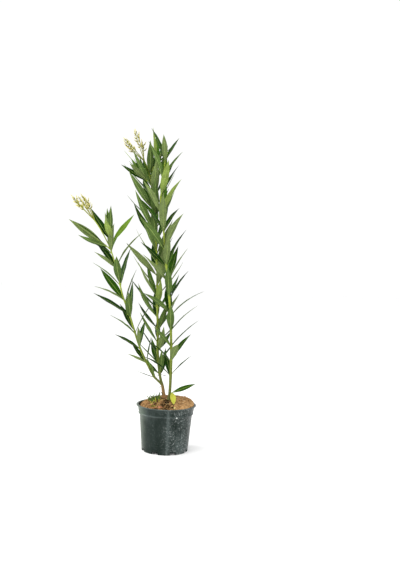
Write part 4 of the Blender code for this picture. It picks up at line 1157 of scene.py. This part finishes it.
def bladeShape(leaf, rng, slim=leafRule["slim"], point=leafRule["point"]):
    # rings of ten points: the upper side lies at fold |u|^1.2 less a curl |u|^5 over half the width,
    # the lower side one thickness below it, thicker at the rib and at the stalk
    look, length = blade, leaf[5]
    t, whole = np.array(look["t"]), np.array([*look["t"], 1.0])
    centres, sides, ups = leafFrame(leaf, whole)
    bow = np.sin(np.pi * whole) * whole ** 0.5
    centres = centres + sides * (bow * look["sway"] * length * rng.uniform(-1, 1))[:, None]
    centres = centres + ups * (bow * 0.6 * look["sway"] * length * rng.uniform(-1, 1))[:, None]
    turn = (look["twist"] * rng.uniform(-1, 1) * whole)[:, None]
    sides, ups = np.cos(turn) * sides + np.sin(turn) * ups, np.cos(turn) * ups - np.sin(turn) * sides
    wide = np.maximum(halfWidth(t, length, slim, point), 0.0010 + 0.0004 * np.exp(-t / 0.03))[:, None]
    rib = np.clip((look["rib"] * (1 - t[:, None]) + 0.0002) / wide, 0.06, 0.45)
    one, far = np.ones_like(rib), look["across"] * np.ones_like(rib)
    u = np.hstack([-one, -far, -rib, rib, far, one, far, rib, -rib, -far])
    lower = np.array([0, 0, 0, 0, 0, 0, 1, 1, 1, 1])
    onRib = np.array([0, 0, 1, 1, 0, 0, 0, 1, 1, 0])
    lift = wide * (leafRule["fold"] * np.abs(u) ** 1.2 - look["curl"] * np.abs(u) ** 5)
    ripple = look["wave"] * rng.uniform(0.3, 1) * np.sin(t * rng.uniform(14, 24) + rng.uniform(0, 6))[:, None]
    lift = lift + wide * ripple * u * np.abs(u) * np.sin(np.pi * t)[:, None]
    thick = look["thick"] + 0.0009 * np.exp(-t / 0.045)[:, None]
    lift = lift - lower * (thick + onRib * (0.0008 * (1 - t[:, None]) + 0.0001))
    lift = lift - onRib * (1 - lower) * 0.00025
    rings = centres[:-1, None] + sides[:-1, None] * (u * wide)[..., None] + ups[:-1, None] * lift[..., None]
    count, last = len(t), 10 * len(t)
    points = np.vstack([rings.reshape(-1, 3), centres[:1], centres[-1:]])
    # the lower quads start one corner on, so that both sides are split along the same diagonal
    quads = ringFaces(count, 10)[:, ::-1]
    below = np.arange(len(quads)) % 10 >= 5
    quads[below] = np.roll(quads[below], 1, axis=1)
    faces = [quads, fanFaces(np.arange(10), last), fanFaces(np.arange(10) + last - 10, last + 1, flip=True)]
    uv = np.vstack([np.stack([0.5 + u / 2, t[:, None] + 0 * u], -1).reshape(-1, 2), [[0.5, 0], [0.5, 1]]])
    # the two rims are sharp from the fourth ring to the tip
    edge = np.append(np.tile(np.array([1, 0, 0, 0, 0, 1, 0, 0, 0, 0], bool), count), [False, True])
    edge[:30] = False
    return points, faces, uv, edge


def bladeMarks(upper, under, ribUpper=7, ribUnder=8, stalk=9):
    # material numbers of the strips of every ring, stalk-coloured in the first two, and of both fans
    strip = np.array([upper, upper, ribUpper, upper, upper, under, under, ribUnder, under, under])
    rows = np.tile(strip, (len(blade["t"]) - 1, 1))
    rows[:2] = stalk
    return [rows.reshape(-1), np.full(10, stalk), strip]


def addBlade(heap, shape, *marks):
    points, faces, uv, edge = shape
    heap.add(points, faces, bladeMarks(*marks), uv, edge)


def tintOf(share, shoot, rng):
    # low leaves are deep, high ones fresher, partly as younger growth and partly as painted light shining
    # through the upper leaves, and those on side shoots freshest, each with some luck;
    # the number of the upper side's tint and that of the under side's
    fresh = -0.1 + 1.1 * share ** 1.5 + (0.4 if shoot >= 0 else 0) + rng.normal(0, 0.95)
    under = fresh * 0.6 + 0.3 + rng.normal(0, 0.5)
    return int(np.clip(round(fresh), 0, 3)), 4 + int(np.clip(round(under), 0, 2))


def makeLeaves(cane, seed, skins):
    rng, heap = np.random.default_rng(seed), Heap()
    for leaf, share, shoot, _ in cane["leaves"]:
        addBlade(heap, bladeShape(leaf, rng), *tintOf(share, shoot, rng))
    if cane is rightCane:
        addFootLeaves(heap, rng)
        addTipLeaves(heap, cane["line"], rng)
    for shoot in cane["shoots"]:
        addTipLeaves(heap, shootLine(cane, shoot), rng, 0.6)
    return heap.piece("leaves" + cane["name"].capitalize(), skins)


def addFootLeaves(heap, rng):
    # the fresh and the old leaf on the short stalk at the right cane's foot, the old one blunter
    (fresh, slim), (old, wide) = sprigLeaves
    addBlade(heap, bladeShape(fresh, rng, slim), 1, 5)
    addBlade(heap, bladeShape(old, rng, wide, 0.75), *[oldLeaf] * 5)
    s = np.linspace(0.0025, sprigLine.length, 9)
    heap.add(*tubeShape(sprigLine.many(s)[0], np.interp(s, [0, s[-1]], [0.0019, 0.0011]), 10), 9)


def addTipLeaves(heap, line, rng, size=1.0):
    # the youngest whorl: three small leaves still close round the tip
    root, way = line.at(line.length - 0.0015)
    for j in range(3):
        azimuth = 0.7 + j * 2 * math.pi / 3 + rng.uniform(-0.3, 0.3)
        spread, bend = radiansOf(rng.uniform(9, 20), rng.uniform(-6, 8))
        leaf = (root, way, azimuth, spread, bend, size * rng.uniform(0.026, 0.036), 0.0)
        addBlade(heap, bladeShape(leaf, rng, 0.17), 3, 6)


# the blossom: arms round the stalk's end, slim buds in five-pointed cups along each arm
flowerLook = dict(
    sides=7, radii=(0.0014, 0.0009), extra=0.5, aside=2.4,
    # a floret's radius in millimetres at shares of its length
    profile=((0.0, 0.70), (0.08, 0.56), (0.16, 0.56), (0.20, 0.9), (0.26, 1.15), (0.36, 1.1), (0.5, 1.2),
             (0.64, 1.3), (0.78, 1.05), (0.9, 0.6), (1.0, 0.12)),
    tints=(("flowerStalk", (0.18, 0.20, 0.030), (0.56, 0.50, 0.12)),
           ("flowerCup", (0.17, 0.16, 0.022), (0.38, 0.24, 0.05)),
           ("flowerBud", (0.42, 0.40, 0.12), (0.80, 0.66, 0.25)),
           ("budTip", (0.62, 0.56, 0.26), (0.74, 0.40, 0.16))),
)


def armLine(stalk, arm, rng):
    # each arm leaves the stalk a little lower than the last, a golden turn on
    azimuth, spread, bend, length = [rng.uniform(-1, 1) for _ in range(4)]
    root, way = stalk.at(stalk.length - 0.004 - flower["run"] * arm / flower["arms"])
    angles = radiansOf(goldenTurn * arm + flower["varyArm"] * azimuth,
                       between(flower["spread"], (spread + 1) / 2), flower["bend"] * bend)
    return Line(arcFrame(root, way, *angles, between(flower["length"], (length + 1) / 2),
                         np.linspace(0, 1, 7))[0])


def floretPlace(line, floret, rng):
    # the florets stand up their arm in golden turns, the last one nearly along it
    azimuth, stand, length = [rng.uniform(-1, 1) for _ in range(3)]
    share = flower["first"] + (1 - flower["first"]) * (floret + 1) / flower["florets"]
    last = flower["lastStand"] if floret == flower["florets"] - 1 else 1
    azimuth, spread = radiansOf(goldenTurn * floret + flower["varyFloret"] * azimuth,
                                between(flower["stand"], (stand + 1) / 2) * last)
    root, way = line.at(share * line.length - 0.001)
    return root, way, azimuth, spread, -0.4, between(flower["floretLength"], (length + 1) / 2)


def floretRoom(place):
    # the four-sided spindle that a floret keeps for itself
    t, radii = np.array([*flower["floretShape"], (1.0, 0.0)]).T
    centres, side, away = arcFrame(*place, t)
    side, away = side * radii[:, None], away * radii[:, None]
    rings = np.stack([centres + side, centres + away, centres - side, centres - away], 1)
    return treeOf(spindle(rings[:-1], centres[-1]))


def addFloret(heap, place, rng):
    # a thin stalk, a cup of five pointed sepals standing round it, and the slim closed bud
    t, wide = np.array(flowerLook["profile"]).T
    centres, side, away = arcFrame(*place, t)
    points, faces = tubeShape(centres, wide * 0.001, 6)
    row = np.searchsorted([0.18, 0.3, 0.7], t[:-1], side="right")  # stalk, cup, bud and tip up the floret
    heap.add(points, faces, [np.repeat(row, 6), 0, 3])
    root, way, length = centres[3], unit(np.gradient(centres, axis=0))[3], place[-1]
    start = rng.uniform(0, 1)
    for j in range(5):
        turn = start + j * 2 * math.pi / 5
        out = math.cos(turn) * side + math.sin(turn) * away[3]
        out = unit(out - (out @ way) * way)
        heap.add(*budShape(root + out * 0.0011, way, out * rng.uniform(0.3, 1.1), 0.30 * length, 0.0005), 1)


def makeBlossom(cane, skins):
    # arms and florets that have no room aren't made, just as on the solids
    stalk, node = cane["line"], cane["blossom"]["node"]
    draw, rng, heap = random.Random(cane["blossom"]["seed"]), np.random.default_rng(5), Heap()
    for arm in range(flower["arms"]):
        line = armLine(stalk, arm, draw)
        florets = [floretPlace(line, floret, draw) for floret in range(flower["florets"])]
        s = stations(0.0, line.length, 0.018)
        if not isClear(tubeRoom(line, s, np.interp(s, [0, line.length], flower["radii"])), node, rooms):
            continue
        s = np.linspace(0, line.length, 16)
        wide = np.interp(s, [0, line.length], flowerLook["radii"])
        heap.add(*tubeShape(line.many(s)[0], wide, flowerLook["sides"]), 0)
        for place in florets:
            if not isClear(floretRoom(place), node, rooms):
                continue
            addFloret(heap, place, rng)
            root, way, azimuth, spread, _, length = place
            # a bract under the floret, and by luck a smaller floret beside it
            out = unit(np.cross(way, [0.2, 1, 0.4]))
            heap.add(*budShape(root, unit(0.6 * way + 0.8 * out), out, rng.uniform(0.003, 0.006), 0.0006), 1)
            if rng.uniform() < flowerLook["extra"]:
                azimuth = azimuth + flowerLook["aside"] + rng.uniform(-0.5, 0.5)
                small = (root, way, azimuth, spread * 1.1, -0.3, length * rng.uniform(0.5, 0.75))
                if isClear(floretRoom(small), node, rooms):
                    addFloret(heap, small, rng)
    return heap.piece("blossom" + cane["name"].capitalize(), skins)


# small weeds and loose leaves on the compost
weedLook = dict(
    tufts=((-0.054, -0.002, 5), (-0.047, -0.008, 6), (-0.041, 0.002, 6), (-0.036, -0.010, 6),
           (-0.029, -0.002, 6), (-0.025, -0.012, 5), (-0.043, -0.018, 4), (-0.033, 0.010, 5),
           (-0.055, 0.016, 3), (-0.046, 0.020, 4)),
    yellowTufts=((-0.022, -0.020, 3), (-0.031, -0.028, 3), (-0.044, -0.036, 2)),
    leaf=(0.008, 0.022), slim=0.20, turn=2.4, bend=math.radians(15),
    # root, way, length, slimness and tint of each loose leaf; one with no height lies on the bed
    loose=(((-0.0185, 0.011, 0.2005), (-0.0124, 0.001, -0.0121), 0.018, 0.26, 0),
           ((-0.0125, 0.0068, 0.1745), (-0.006, -0.008, 0.012), 0.016, 0.3, 4),
           ((-0.0245, 0.016, 0.2327), (-0.0154, 0.004, 0.0028), 0.017, 0.14, 0),
           ((-0.0215, 0.0140, 0.2366), (0.0196, -0.012, 0.0), 0.026, 0.16, 1),
           ((-0.0240, -0.004), (0.05, -0.1, 1.0), 0.027, 0.2, 4),
           ((-0.0265, 0.002), (-0.35, 0.1, 1.0), 0.020, 0.2, 0),
           ((0.002, -0.058), (1.0, -0.4, 0.12), 0.020, 0.3, oldLeaf),
           ((-0.030, -0.052), (-1.0, -0.5, 0.10), 0.016, 0.3, oldLeaf)),
)


def addTuft(heap, x, y, count, rng, upper, under):
    # small leaves that spring from one place, each turned on from the last
    up = np.array([0, 0, 1.0])
    root = np.array([x, y, float(bedSurface(x, y)) - 0.001])
    for j in range(count):
        azimuth = j * weedLook["turn"] + rng.uniform(-0.4, 0.4)
        spread, bend = radiansOf(rng.uniform(18, 62), rng.uniform(-10, 35))
        leaf = (root + [0, 0, 0.001 * j], up, azimuth, spread, bend, rng.uniform(*weedLook["leaf"]), 0.0)
        addBlade(heap, bladeShape(leaf, rng, weedLook["slim"]), upper, under, upper, under, under)


def addLoose(heap, root, toward, length, slim, tint, rng):
    # one leaf along a given way, its arc's stem axis set square to it
    if len(root) < 3:
        root = (*root, float(bedSurface(*root)))
    toward = unit(np.asarray(toward, float))
    stem = unit(np.cross(np.cross(toward, [0, 0, 1.0]), toward))
    across = outwardOf(stem, 0.0)
    azimuth = math.atan2(toward @ np.cross(stem, across), toward @ across)
    leaf = (np.asarray(root, float), stem, azimuth, math.pi / 2, weedLook["bend"], length, 0.0)
    addBlade(heap, bladeShape(leaf, rng, slim), *[tint] * 5)


def makeWeeds(skins):
    rng, heap = np.random.default_rng(31), Heap()
    for x, y, count in weedLook["tufts"]:
        addTuft(heap, x, y, count, rng, 2 + count % 2, 5)
    for x, y, count in weedLook["yellowTufts"]:
        addTuft(heap, x, y, count, rng, oldLeaf, oldLeaf)
    for one in weedLook["loose"]:
        addLoose(heap, *one, rng)
    return heap.piece("weeds", skins)


print("leaf, bark and blossom rules ready")


def finishPiece(piece, nodes):
    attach(piece, "root")
    if nodes:
        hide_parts(*nodes)
    print(piece.name, sum(len(p.vertices) - 2 for p in piece.data.polygons), "triangles")


makeCamera()
makeLight()
finishPiece(makePot(), ("pot",))
finishPiece(makeBed(), ("compost",))
finishPiece(makeCrumbs(), ())

leafSkins = leafMaterials()
bark, shootBark, greenBark = [barkMaterial(*kind) for kind in caneLook["barks"]]
greenBud = spottedMaterial("greenBud", caneLook["bud"], caneLook["budSpot"])
caneSkins = [bark, shootBark, greenBud]
finishPiece(makeCane(leftCane, 3, caneSkins), ("left_cane",))
finishPiece(makeCane(middleCane, 5, caneSkins), ("trunk", "middle_cane"))
finishPiece(makeCane(rightCane, 8, [greenBark, shootBark, greenBud]), ("right_cane",))
for cane, seed, also in zip(canes, (101, 102, 103), ([], [], [footSprig["node"]])):
    finishPiece(makeLeaves(cane, seed, leafSkins), [tier[0] for tier in cane["tiers"]] + also)
flowerSkins = [spottedMaterial(*tint) for tint in flowerLook["tints"]]
for cane in (leftCane, middleCane):
    finishPiece(makeBlossom(cane, flowerSkins), (cane["blossom"]["node"],))
finishPiece(makeWeeds(leafSkins), ())


def makeFloor():
    # a pale floor with no edge in sight
    points = np.array([[-9, -9, 0], [9, -9, 0], [9, 9, 0], [-9, 9, 0]], float)
    paper = newMaterial("studioPaper", (0.97, 0.97, 0.97), 0.9, 0.1)
    return putMesh("studioFloor", points, [np.array([[0, 1, 2, 3]])], [np.zeros(1)], None, [paper])


makeFloor()
